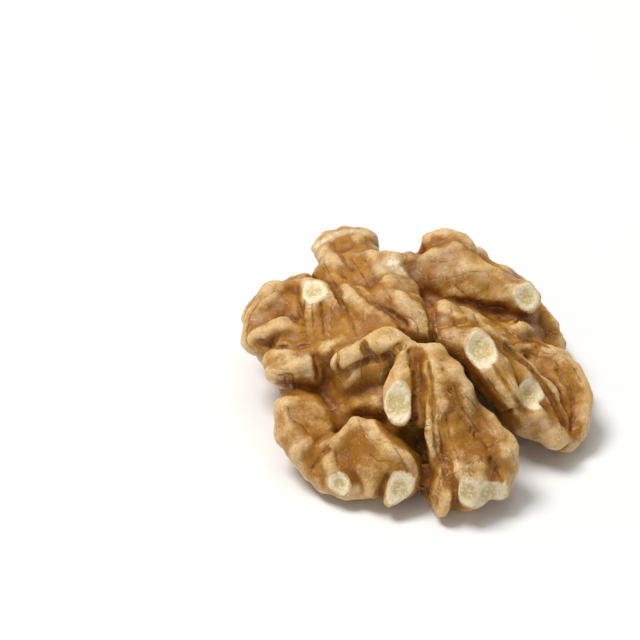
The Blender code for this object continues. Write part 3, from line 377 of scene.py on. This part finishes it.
VEINS = 110                 # wandering veins over the whole skin
VEIN_SEED = 41
VEIN_STEP = 0.45            # length of one step of a vein
VEIN_STEPS = 16
VEIN_WANDER = 0.35          # how much a vein turns at each step
VEIN_WIDTH = 0.25           # half width of the furrow along a vein
VEIN_DEPTH = 0.03

# Colours of the skin, from its ground to the dust on it. Some are painted shade: the hollow, pinch and
# narrow dip colours wholly, the dip colour in part. The crest colour is partly painted light.
GROUND = "#A16817"
PALE_GROUND = "#BB852B"
MOTTLED = "#995F13"
DIP_COLOUR_AND_SHADE = "#94570A"
HOLLOW_SHADE = "#824608"
PINCH_SHADE = "#4A220B"
NARROW_DIP_SHADE = "#7A4216"
CREST_PALE_AND_LIT = "#EAC484"
BLOOM = "#EFCFA5"
DARK_DUST = "#7E480C"
PALE_DUST = "#F0D09C"
PALE_VEIN = "#EBCBA0"
DARK_LINE = "#4C2417"
SPECK = "#5A3020"
FLAKE = "#FBE9C4"
RUB_RIM = "#A4601F"
WORN = "#EBD3A8"
# Colours of the bare flesh.
FLESH_EDGE = "#F8E6C0"
FLESH_MIDDLE = "#D6BE7E"
FLESH_GRAIN = "#FFF3D8"
FLESH_SHADE = "#D4B67A"

LAMINATE = "#F6F6F5"
FLOOR_REACH = 1.5           # metres from the kernel to the floor's edge

# Each light: name, way to it (right, away and up in the view), distance and
# size in metres, and power in watts.
LIGHTS = [
    ("window", (-0.42, 0.12, 1.0), 0.9, 0.36, 6.0),
    ("overhead", (0.0, 0.1, 1.0), 1.0, 0.6, 1.6),
    ("fill", (-0.3, -0.9, 0.7), 1.1, 0.7, 0.7),
]
WORLD_LIGHT = 0.29
WORLD_COLOUR = "#FFFFFF"


def turned(right, away, up=0.0):
    """A direction or place of the slanting view's ground, in the kernel's frame."""
    c, s = math.cos(VIEW_TURN), math.sin(VIEW_TURN)
    return np.array((right * c + away * s, away * c - right * s, up))


def eye():
    x, y = VIEW_AIM
    return turned(x, y - VIEW_DISTANCE * math.cos(VIEW_HEIGHT), VIEW_DISTANCE * math.sin(VIEW_HEIGHT))


def seen_at(across, up, height):
    """The place at this height that the slanting view shows across and up from its aim."""
    c, s = math.cos(VIEW_HEIGHT), math.sin(VIEW_HEIGHT)
    ray = turned(across / VIEW_DISTANCE, c + up / VIEW_DISTANCE * s, up / VIEW_DISTANCE * c - s)
    return eye() + ray * (height - eye()[2]) / ray[2]


def smooth_chain(points, steps=4):
    """The points of a smooth curve through a chain, radius included."""
    points = np.array(points, float)
    first, last = 2 * points[0] - points[1], 2 * points[-1] - points[-2]
    points = np.vstack([first, points, last])
    curve = []
    for a, b, c, d in zip(points, points[1:], points[2:], points[3:]):
        for t in np.arange(steps) / steps:
            bend = (2 * a - 5 * b + 4 * c - d) * t ** 2 + (3 * b - a - 3 * c + d) * t ** 3
            curve.append(b + 0.5 * ((c - a) * t + bend))
    curve.append(points[-2])
    return np.array(curve)


def chain_distance(points, chain):
    """Distance from each point to the skin of a chain of round sections."""
    nearest = np.full(len(points), 1e9)
    for start, end in zip(chain, chain[1:]):
        way = end[:3] - start[:3]
        t = np.clip((points - start[:3]) @ way / (way @ way), 0, 1)
        middle = start[:3] + t[:, None] * way
        radius = start[3] + t * (end[3] - start[3])
        nearest = np.minimum(nearest, np.linalg.norm(points - middle, axis=1) - radius)
    return nearest


def wave_set(wavelength, seed, count=10):
    """Directions and phases of a few waves of about this length."""
    draw = np.random.default_rng(seed)
    way = draw.normal(size=(count, 3))
    way *= 2 * math.pi / wavelength / np.linalg.norm(way, axis=1, keepdims=True)
    way *= draw.uniform(0.7, 1.4, (count, 1))
    return way, draw.uniform(0, 2 * math.pi, count)


def ripple(points, waves):
    way, phase = waves
    return np.sin(points @ way.T + phase).sum(axis=1) * math.sqrt(2 / len(phase))


def cut_away(distance, tool, edge):
    """Takes the inside of a tool out of the form, with a rounded edge."""
    share = np.clip(0.5 - 0.5 * (distance + tool) / edge, 0, 1)
    return distance * (1 - share) - tool * share + edge * share * (1 - share)


class Form:
    """The kernel as a distance: below zero inside the flesh, above it outside."""

    REACH = 2.0             # a fold isn't felt further away than this

    def __init__(self, folds):
        self.folds = [smooth_chain(chain) for chain in folds.values()]
        self.waves = []
        for reach, wavelength, seed in WAVES:
            axes = [wave_set(wavelength, seed * 10 + axis) for axis in range(3)]
            self.waves.append((reach, axes))
        self.grooves = []
        self.chips = []

    def flesh(self, points):
        total = np.full(len(points), math.exp(-self.REACH / MELT))
        for chain in self.folds:
            low = (chain[:, :3] - chain[:, 3:]).min(axis=0) - self.REACH
            high = (chain[:, :3] + chain[:, 3:]).max(axis=0) + self.REACH
            near = np.flatnonzero(((points > low) & (points < high)).all(axis=1))
            if len(near):
                distance = chain_distance(points[near], chain)
                total[near] += np.exp(np.clip(-distance / MELT, -60, 60))
        return -MELT * np.log(total)

    def distance(self, points):
        bent = points
        for reach, axes in self.waves:
            bent = bent + reach * np.stack([ripple(points, waves) for waves in axes], axis=1)
        distance = self.flesh(bent)
        distance = np.maximum(distance, LOW_SIDE - points[:, 2])
        for chain in self.grooves:
            low = chain[:, :3].min(axis=0) - GROOVE_REACH
            high = chain[:, :3].max(axis=0) + GROOVE_REACH
            near = np.flatnonzero(((points > low) & (points < high)).all(axis=1))
            if len(near):
                tool = chain_distance(points[near], chain)
                distance[near] = cut_away(distance[near], tool, GROOVE_EDGE)
        for centre, radius in self.chips:
            tool = np.linalg.norm(points - centre, axis=1) - radius
            distance = cut_away(distance, tool, CHIP_EDGE)
        return distance

    def slope(self, points, step=0.05):
        here = self.distance(points)
        ahead = [self.distance(points + step * axis) for axis in np.eye(3)]
        return here, (np.stack(ahead, axis=1) - here[:, None]) / step

    def settled(self, points, steps, longest=0.3):
        """The points moved onto the skin along the slope of the form."""
        for _ in range(steps):
            distance, slope = self.slope(points)
            move = slope * (-distance / np.maximum((slope ** 2).sum(axis=1), 0.25))[:, None]
            length = np.linalg.norm(move, axis=1, keepdims=True)
            points = points + move * np.minimum(1, longest / np.maximum(length, 1e-9))
        return points

    def first_hit(self, across, up):
        """Where the line of the slanting view through this place meets the skin."""
        height = np.linspace(TALLEST, 0, 301)
        line = np.array([seen_at(across, up, z) for z in height])
        inside = np.flatnonzero(self.distance(line) < 0)
        return line[inside[0]] if len(inside) else None

    def add_grooves(self, grooves):
        chains = []
        for line, half_width in grooves.values():
            hits = [self.first_hit(*place) for place in line]
            hits = np.array([hit for hit in hits if hit is not None])
            hits = self.settled(hits, 4)
            radius = np.full((len(hits), 1), half_width)
            chains.append(smooth_chain(np.hstack([hits, radius])))
        self.grooves = chains

    def add_chips(self, chips):
        balls = []
        for place, facing, depth, radius in chips.values():
            way = turned(*facing)
            way /= np.linalg.norm(way)
            line = seen_at(*place) + np.linspace(-3, 3, 241)[:, None] * way
            inside = np.flatnonzero(self.distance(line) < 0)
            outermost = line[inside[-1]]
            balls.append((outermost + (radius - depth) * way, radius))
        self.chips = balls


def all_folds():
    folds = {}
    for name, chain in FACE_FOLDS.items():
        folds[name] = [(*seen_at(across, up, height), radius) for across, up, height, radius in chain]
    folds.update(FAR_FOLDS)
    return folds


def rough_skin(folds):
    """One closed skin round balls strung along every fold."""
    bm = bmesh.new()
    for chain in folds.values():
        last = None
        for *place, radius in smooth_chain(chain, 6):
            if last is None or math.dist(place, last) > 0.5 * radius:
                move = Matrix.Translation(Vector(place))
                bmesh.ops.create_icosphere(bm, subdivisions=2, radius=radius + SWELL, matrix=move)
                last = place
    mesh = bpy.data.meshes.new("kernel_half")
    bm.to_mesh(mesh)
    bm.free()
    obj = bpy.data.objects.new("kernel_half", mesh)
    bpy.context.scene.collection.objects.link(obj)
    reskin(obj, ROUGH_VOXEL)
    return obj


def bake_modifiers(obj):
    evaluated = obj.evaluated_get(bpy.context.evaluated_depsgraph_get())
    mesh = bpy.data.meshes.new_from_object(evaluated)
    obj.modifiers.clear()
    obj.data = mesh


def reskin(obj, voxel):
    remesh = obj.modifiers.new("skin", "REMESH")
    remesh.mode = "VOXEL"
    remesh.voxel_size = voxel
    bake_modifiers(obj)


def vertex_places(mesh):
    places = np.empty(len(mesh.vertices) * 3, np.float32)
    mesh.vertices.foreach_get("co", places)
    return places.reshape(-1, 3).astype(float)


def move_vertices(mesh, places):
    mesh.vertices.foreach_set("co", places.astype(np.float32).ravel())
    mesh.update()


def relax(mesh):
    bm = bmesh.new()
    bm.from_mesh(mesh)
    axes = dict(use_axis_x=True, use_axis_y=True, use_axis_z=True)
    bmesh.ops.smooth_vert(bm, verts=bm.verts, factor=0.5, **axes)
    bm.to_mesh(mesh)
    bm.free()


def fit_to_form(mesh, form, rounds=2):
    """Evens out the vertices and brings them onto the form, in rounds."""
    for _ in range(rounds):
        relax(mesh)
        move_vertices(mesh, form.settled(vertex_places(mesh), 2))


def fine_skin(folds, form):
    """The closed skin, first coarse and then in fine cells, fitted to the form."""
    obj = rough_skin(folds)
    fit_to_form(obj.data, form)
    reskin(obj, FINE_VOXEL)
    fit_to_form(obj.data, form)
    return obj


def normals_of(mesh):
    way = np.empty(len(mesh.vertices) * 3, np.float32)
    mesh.vertex_normals.foreach_get("vector", way)
    return way.reshape(-1, 3).astype(float)


def line_on(form, line):
    """A line drawn in the slanting view, as close points on the skin."""
    hits = [form.first_hit(*place) for place in line]
    chain = smooth_chain([hit for hit in hits if hit is not None], 8)
    return form.settled(chain, 3)


def crease_lines(form):
    """Every drawn crease and every groove on the skin, with width and depth."""
    lines = [(line_on(form, line), width, depth) for line, width, depth in CREASES]
    for line, half_width in GROOVES.values():
        lines.append((line_on(form, line), half_width, GROOVE_CREASE))
    return lines


def vein_lines(form, mesh):
    """Veins that wander over the skin from seeded starts, along its folds."""
    draw = np.random.default_rng(VEIN_SEED)
    places, facing = vertex_places(mesh), normals_of(mesh)
    start = draw.choice(len(places), VEINS, replace=False)
    here = places[start]
    way = np.cross(facing[start], draw.normal(size=(VEINS, 3)))
    trail = [here]
    for _ in range(VEIN_STEPS):
        way /= np.linalg.norm(way, axis=1, keepdims=True)
        here = form.settled(here + VEIN_STEP * way, 2)
        _, slope = form.slope(here)
        way = way + draw.normal(0, VEIN_WANDER, way.shape)
        way -= slope * (way * slope).sum(axis=1, keepdims=True)
        trail.append(here)
    trail = np.stack(trail, axis=1)
    return [(smooth_chain(line, 4), VEIN_WIDTH, VEIN_DEPTH) for line in trail]


def nearest_line(places, facing, lines):
    """For each place: how far off the nearest line is, on which side, its width and depth."""
    points = np.vstack([line for line, _, _ in lines])
    ways = np.vstack([np.gradient(line, axis=0) for line, _, _ in lines])
    ways /= np.maximum(np.linalg.norm(ways, axis=1, keepdims=True), 1e-9)
    widths = np.concatenate([np.full(len(line), width) for line, width, _ in lines])
    depths = np.concatenate([np.full(len(line), depth) for line, _, depth in lines])
    tree = kdtree.KDTree(len(points))
    for index, point in enumerate(points):
        tree.insert(point, index)
    tree.balance()
    nearest = np.array([tree.find(place)[1] for place in places])
    off = places - points[nearest]
    way = ways[nearest]
    along = (off * way).sum(axis=1, keepdims=True)
    beyond = np.maximum(np.abs(along[:, 0]) - LINE_END, 0)
    across = off - along * way
    reach = np.hypot(np.linalg.norm(across, axis=1), beyond)
    side = np.sign((np.cross(way, facing) * across).sum(axis=1))
    return reach, side, widths[nearest], depths[nearest]


def rise_over(mesh, places, facing, reach):
    """How far each place stands over the skin evened out round it, in mm."""
    ends = np.empty(len(mesh.edges) * 2, np.int32)
    mesh.edges.foreach_get("vertices", ends)
    near, far = ends.reshape(-1, 2).T
    count = np.bincount(ends, minlength=len(places))[:, None]
    even = places.copy()
    for _ in range(int((2 * reach / FINE_VOXEL) ** 2)):
        total = [np.bincount(near, even[far, axis], len(places)) for axis in range(3)]
        other = [np.bincount(far, even[near, axis], len(places)) for axis in range(3)]
        even = 0.5 * even + 0.5 * (np.stack(total, axis=1) + np.stack(other, axis=1)) / count
    return ((places - even) * facing).sum(axis=1)


def add_values(mesh, name, values):
    attribute = mesh.attributes.new(name, "FLOAT", "POINT")
    attribute.data.foreach_set("value", np.asarray(values, np.float32))


def rub_values(form, places):
    """How far each place is rubbed to the flesh, and how near a spot's middle."""
    rubbed = np.zeros(len(places))
    middle = np.zeros(len(places))
    for name, (centre, radius) in zip(CHIPS, form.chips):
        away = places - centre
        tool = np.linalg.norm(away, axis=1) - radius
        cut = np.flatnonzero(tool < CUT_FACE)
        if len(cut) == 0:
            continue
        core = places[cut].mean(axis=0)
        reach = np.linalg.norm(places[cut] - core, axis=1).max()
        near = np.linalg.norm(places - core, axis=1) / reach
        share = TAB_END_SHARE if name == "tab_end" else 1.0
        bared = share * np.clip(1 - tool / RUB_FADE, 0, 1)
        rubbed = np.maximum(rubbed, np.where(near < RUB_SPILL, bared, 0))
        middle = np.maximum(middle, np.clip(1 - near, 0, 1))
    for across, up, reach, strength in RUBS:
        hit = form.first_hit(across, up)
        if hit is not None:
            near = np.linalg.norm(places - hit, axis=1) / reach
            rubbed = np.maximum(rubbed, strength * np.exp(-near ** 2))
    return rubbed, middle


def dress_skin(obj, form):
    """Creases, veins and wrinkles on the fitted skin, and the values its colours read."""
    mesh = obj.data
    places, facing = vertex_places(mesh), normals_of(mesh)
    # Hollow and pinch say how closed in each place is by other folds; the colours darken such places as
    # painted shade.
    hollow = 1 - form.distance(places + HOLLOW_REACH * facing) / HOLLOW_REACH
    pinch = 1 - form.distance(places + PINCH_REACH * facing) / PINCH_REACH
    rubbed, middle = rub_values(form, places)
    reach, side, width, depth = nearest_line(places, facing, crease_lines(form))
    crease = depth * np.exp(-(reach / width) ** 2)
    veins = vein_lines(form, mesh)
    vein_reach, vein_side, vein_width, vein_depth = nearest_line(places, facing, veins)
    crease += vein_depth * np.exp(-(vein_reach / vein_width) ** 2)
    relief = sum(
        height * ripple(places, wave_set(length, seed)) for height, length, seed in WRINKLES
    )
    level = np.clip(places[:, 2] / FOOT_HEIGHT, 0, 1)
    lift = (relief * (1 - RUB_SMOOTHING * rubbed) - crease * (1 - rubbed)) * level
    places = places + facing * lift[:, None]
    move_vertices(mesh, places)
    add_values(mesh, "rise_wide", rise_over(mesh, places, facing, WIDE_REACH))
    add_values(mesh, "rise_near", rise_over(mesh, places, facing, NEAR_REACH))
    add_values(mesh, "hollow", np.clip(hollow, 0, 1))
    add_values(mesh, "pinch", np.clip(pinch, 0, 1))
    add_values(mesh, "rubbed", rubbed)
    add_values(mesh, "rub_middle", middle)
    add_values(mesh, "crease_reach", reach)
    add_values(mesh, "crease_side", reach * side)
    add_values(mesh, "vein_reach", vein_reach)
    add_values(mesh, "vein_side", vein_reach * vein_side)


def place_in_frame(mesh):
    """Moves the skin to metres, with the middle of its base where the solid's is."""
    places = vertex_places(mesh)
    low, high = places.min(axis=0), places.max(axis=0)
    base = np.array(((low[0] + high[0]) / 2, (low[1] + high[1]) / 2, low[2]))
    move_vertices(mesh, (places - base) * MM)
    return base


def linear(hex_colour):
    """A colour from its sRGB hex value, as the shader reads it."""
    parts = [int(hex_colour[i:i + 2], 16) / 255 for i in (1, 3, 5)]
    parts = [c / 12.92 if c <= 0.04045 else ((c + 0.055) / 1.055) ** 2.4 for c in parts]
    return (*parts, 1.0)


def node(tree, kind, inputs=None, **settings):
    """Adds a node with its settings, and sets or links each named or numbered input."""
    made = tree.nodes.new(kind)
    for name, value in settings.items():
        setattr(made, name, value)
    for name, value in (inputs or {}).items():
        if isinstance(value, bpy.types.NodeSocket):
            tree.links.new(value, made.inputs[name])
        else:
            made.inputs[name].default_value = value
    return made


def walnut_skin():
    """Walnut pellicle: a thin dry golden-brown skin over pale oily flesh.

    It is satin and a little translucent. The hollows are deep orange brown and
    darkened further by painted shade, the crests are paler, partly by painted
    light, and wear a dusty pale bloom, dark veins run through it, and where it is
    rubbed off the cream flesh shows, granular and dull.
    """
    material = bpy.data.materials.new("walnut_pellicle")
    material.use_nodes = True
    tree = material.node_tree
    tree.nodes.clear()

    def size(mm):
        return 1 / (mm * MM)

    def mask(value, low, high, to_low=0.0, to_high=1.0):
        inputs = {
            "Value": value, "From Min": low, "From Max": high, "To Min": to_low, "To Max": to_high,
        }
        return node(tree, "ShaderNodeMapRange", inputs, interpolation_type="SMOOTHSTEP").outputs[0]

    def maths(operation, first, second=0.0):
        return node(tree, "ShaderNodeMath", {0: first, 1: second}, operation=operation).outputs[0]

    def tint(under, over, share):
        inputs = {"Factor": share, "A": under, "B": over}
        return node(tree, "ShaderNodeMix", inputs, data_type="RGBA").outputs["Result"]

    place = node(tree, "ShaderNodeTexCoord").outputs["Object"]

    def grain(mm, detail=3.0, rough=0.55, bend=0.0):
        inputs = {
            "Vector": place, "Scale": size(mm), "Detail": detail, "Roughness": rough, "Distortion": bend,
        }
        return node(tree, "ShaderNodeTexNoise", inputs).outputs["Fac"]

    def value(name):
        return node(tree, "ShaderNodeAttribute", attribute_name=name).outputs["Fac"]

    # Cloudy patches, mottling, dust and grit, each about as wide as its first
    # number says, in millimetres.
    hollow, pinch = value("hollow"), value("pinch")
    patches = grain(4.5, 4.0, 0.6, 0.6)
    mottle = grain(1.1, 5.0, 0.65)
    dust = grain(0.28, 4.0, 0.7)
    grit = grain(0.2, 2.0, 0.6)
    cloud = maths("SUBTRACT", mottle, 0.5)
    uneven = maths("MULTIPLY", cloud, 0.5)
    wide = maths("ADD", value("rise_wide"), uneven)
    near = maths("ADD", value("rise_near"), maths("MULTIPLY", uneven, 0.15))

    # The ground colour, more saturated in dips and between folds, with painted shade darkening them: part
    # of the dip colour, and all of the hollow, pinch and narrow dip colours.
    skin = tint(linear(GROUND), linear(PALE_GROUND), mask(patches, 0.38, 0.62))
    skin = tint(skin, linear(MOTTLED), maths("MULTIPLY", mask(mottle, 0.5, 0.68), 0.4))
    skin = tint(skin, linear(DIP_COLOUR_AND_SHADE), maths("MULTIPLY", mask(wide, 0.0, -0.4), 0.85))
    hollow_shade_share = mask(hollow, 0.35, 1.0)
    skin = tint(skin, linear(HOLLOW_SHADE), maths("MULTIPLY", hollow_shade_share, 0.7))
    skin = tint(skin, linear(PINCH_SHADE), maths("MULTIPLY", mask(pinch, 0.5, 1.0), 0.75))
    skin = tint(skin, linear(NARROW_DIP_SHADE), maths("MULTIPLY", mask(near, -0.04, -0.18), 0.35))

    # Crests painted paler, partly as the skin's paler colour and partly as painted light on the tops,
    # with a dusty bloom that gathers on them.
    open_skin = maths("SUBTRACT", 1.0, mask(hollow, 0.15, 0.6))
    crest = maths("MULTIPLY", mask(wide, 0.04, 0.45), open_skin)
    skin = tint(skin, linear(CREST_PALE_AND_LIT), maths("MULTIPLY", crest, 0.8))
    bloom = maths("MULTIPLY", mask(mottle, 0.42, 0.6), mask(dust, 0.4, 0.6))
    bloom = maths("MULTIPLY", bloom, maths("ADD", maths("MULTIPLY", crest, 0.7), 0.05))
    skin = tint(skin, linear(BLOOM), maths("MULTIPLY", bloom, 0.75))

    skin = tint(skin, linear(DARK_DUST), maths("MULTIPLY", mask(dust, 0.47, 0.3), 0.3))
    skin = tint(skin, linear(PALE_DUST), maths("MULTIPLY", mask(dust, 0.55, 0.7), 0.2))

    def line_mask(name, width):
        off = maths("ABSOLUTE", value(name + "_side"))
        thin = mask(off, width * 0.3, width, 1.0, 0.0)
        close = mask(value(name + "_reach"), 0.3, 0.45, 1.0, 0.0)
        return maths("MULTIPLY", thin, close)

    # Dark creases, and veins that are dark in places and pale in others.
    broken = mask(grain(0.8, 3.0, 0.6), 0.42, 0.58)
    creases = maths("MULTIPLY", line_mask("crease", 0.1), mask(grain(0.7), 0.4, 0.6, 0.1, 1.0))
    veins = maths("MULTIPLY", line_mask("vein", 0.1), broken)
    pale = maths("MULTIPLY", line_mask("vein", 0.08), mask(broken, 0.6, 0.2))
    skin = tint(skin, linear(PALE_VEIN), maths("MULTIPLY", pale, 0.45))
    dark = maths("MAXIMUM", maths("MULTIPLY", creases, 0.55), maths("MULTIPLY", veins, 0.4))
    skin = tint(skin, linear(DARK_LINE), dark)
    specks = mask(grain(0.4, 2.0, 0.5), 0.66, 0.74)
    skin = tint(skin, linear(SPECK), maths("MULTIPLY", specks, 0.5))

    # Loose pale flakes, most of them on the crests.
    flakes = maths("MULTIPLY", mask(grit, 0.57, 0.62), mask(grain(1.6, 2.0), 0.42, 0.55))
    flakes = maths("MULTIPLY", flakes, maths("ADD", maths("MULTIPLY", crest, 0.8), 0.08))
    skin = tint(skin, linear(FLAKE), maths("MULTIPLY", flakes, 0.8))

    # Bare flesh with a ragged edge, a browner rim and worn skin round it.
    ragged = maths("ADD", value("rubbed"), maths("MULTIPLY", cloud, 2.0))
    ragged = maths("ADD", ragged, maths("MULTIPLY", maths("SUBTRACT", dust, 0.5), 0.8))
    bare = mask(ragged, 0.62, 0.72)
    middle = maths("ADD", value("rub_middle"), maths("MULTIPLY", cloud, 0.6))
    flesh = tint(linear(FLESH_EDGE), linear(FLESH_MIDDLE), mask(middle, 0.25, 0.65))
    flesh = tint(flesh, linear(FLESH_GRAIN), maths("MULTIPLY", mask(dust, 0.48, 0.62), 0.7))
    shaded = mask(grain(0.5, 3.0, 0.6), 0.54, 0.7)
    flesh = tint(flesh, linear(FLESH_SHADE), maths("MULTIPLY", shaded, 0.5))
    rim = maths("MULTIPLY", mask(ragged, 0.25, 0.48), maths("SUBTRACT", 1.0, bare))
    skin = tint(skin, linear(RUB_RIM), maths("MULTIPLY", rim, 0.3))
    worn = mask(maths("ADD", value("rubbed"), maths("MULTIPLY", uneven, 0.6)), 0.1, 0.5)
    skin = tint(skin, linear(WORN), maths("MULTIPLY", worn, 0.7))
    colour = tint(skin, flesh, bare)

    rough = maths("ADD", maths("MULTIPLY", dust, 0.22), 0.26)
    rough = maths("ADD", rough, maths("MULTIPLY", bloom, 0.12))
    rough = maths("SUBTRACT", rough, maths("MULTIPLY", flakes, 0.2))

    # The skin is finely grained, dips along dark lines and bare spots, and lifts
    # at flakes, and the bare flesh is coarser. Heights are in millimetres.
    height = maths("MULTIPLY", grain(0.7, 5.0, 0.6, 0.4), 0.08)
    height = maths("ADD", height, maths("MULTIPLY", dust, 0.05))
    height = maths("SUBTRACT", height, maths("MULTIPLY", dark, 0.04))
    height = maths("ADD", height, maths("MULTIPLY", flakes, 0.05))
    height = maths("SUBTRACT", height, maths("MULTIPLY", bare, 0.08))
    coarse = maths("MULTIPLY", bare, grain(0.45, 3.0, 0.6))
    height = maths("ADD", height, maths("MULTIPLY", coarse, 0.15))
    bump = node(tree, "ShaderNodeBump", {"Height": height, "Distance": MM, "Strength": 1.0})

    # The refraction of a plant oil, and a short reddish glow in the thin skin.
    shader = node(tree, "ShaderNodeBsdfPrincipled", {
        "Base Color": colour,
        "Roughness": rough,
        "IOR": 1.46,
        "Subsurface Weight": 0.3,
        "Subsurface Radius": (1.0, 0.55, 0.18),
        "Subsurface Scale": 1.4 * MM,
        "Specular IOR Level": 0.36,
        "Normal": bump.outputs[0],
    })
    node(tree, "ShaderNodeOutputMaterial", {"Surface": shader.outputs[0]})
    return material


def make_kernel_half():
    folds = all_folds()
    form = Form(folds)
    form.add_grooves(GROOVES)
    form.add_chips(CHIPS)
    obj = fine_skin(folds, form)
    dress_skin(obj, form)
    base = place_in_frame(obj.data)
    obj.data.materials.clear()
    obj.data.materials.append(walnut_skin())
    obj.data.shade_smooth()
    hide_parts("kernel_half")
    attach(obj, "root")
    return base


def table_top():
    """A plain off-white laminate table: matt, with no pattern that shows at this size."""
    material = bpy.data.materials.new("white_laminate")
    material.use_nodes = True
    shader = material.node_tree.nodes["Principled BSDF"]
    shader.inputs["Base Color"].default_value = linear(LAMINATE)
    shader.inputs["Roughness"].default_value = 0.6
    return material


def make_floor():
    bm = bmesh.new()
    bmesh.ops.create_grid(bm, x_segments=1, y_segments=1, size=FLOOR_REACH)
    mesh = bpy.data.meshes.new("floor")
    bm.to_mesh(mesh)
    bm.free()
    mesh.materials.append(table_top())
    floor = bpy.data.objects.new("floor", mesh)
    bpy.context.scene.collection.objects.link(floor)


def aim(obj, place, target):
    obj.location = place
    obj.rotation_euler = (place - target).to_track_quat("Z", "Y").to_euler()


def make_camera(base):
    """The photograph's view: the eye of the slanting view, aimed at the same place."""
    camera = bpy.data.cameras.new("camera")
    camera.lens = LENS
    camera.sensor_width = SENSOR
    camera.clip_start = 0.01
    camera.clip_end = 10
    obj = bpy.data.objects.new("camera", camera)
    bpy.context.scene.collection.objects.link(obj)
    target = Vector(turned(*VIEW_AIM) - base) * MM
    aim(obj, Vector(eye() - base) * MM, target)
    bpy.context.scene.camera = obj


def make_lights():
    """Soft daylight from high on the left, with a weak fill from the front."""
    for name, way, distance, size, power in LIGHTS:
        lamp = bpy.data.lights.new(name, "AREA")
        lamp.shape = "DISK"
        lamp.size = size
        lamp.energy = power
        obj = bpy.data.objects.new(name, lamp)
        bpy.context.scene.collection.objects.link(obj)
        place = Vector(turned(*way)).normalized() * distance
        aim(obj, place, Vector((0, 0, 0)))
    world = bpy.data.worlds.new("studio")
    world.use_nodes = True
    background = world.node_tree.nodes["Background"]
    background.inputs["Color"].default_value = linear(WORLD_COLOUR)
    background.inputs["Strength"].default_value = WORLD_LIGHT
    bpy.context.scene.world = world


bpy.context.scene.view_settings.view_transform = "Standard"
base = make_kernel_half()
make_floor()
make_camera(base)
make_lights()
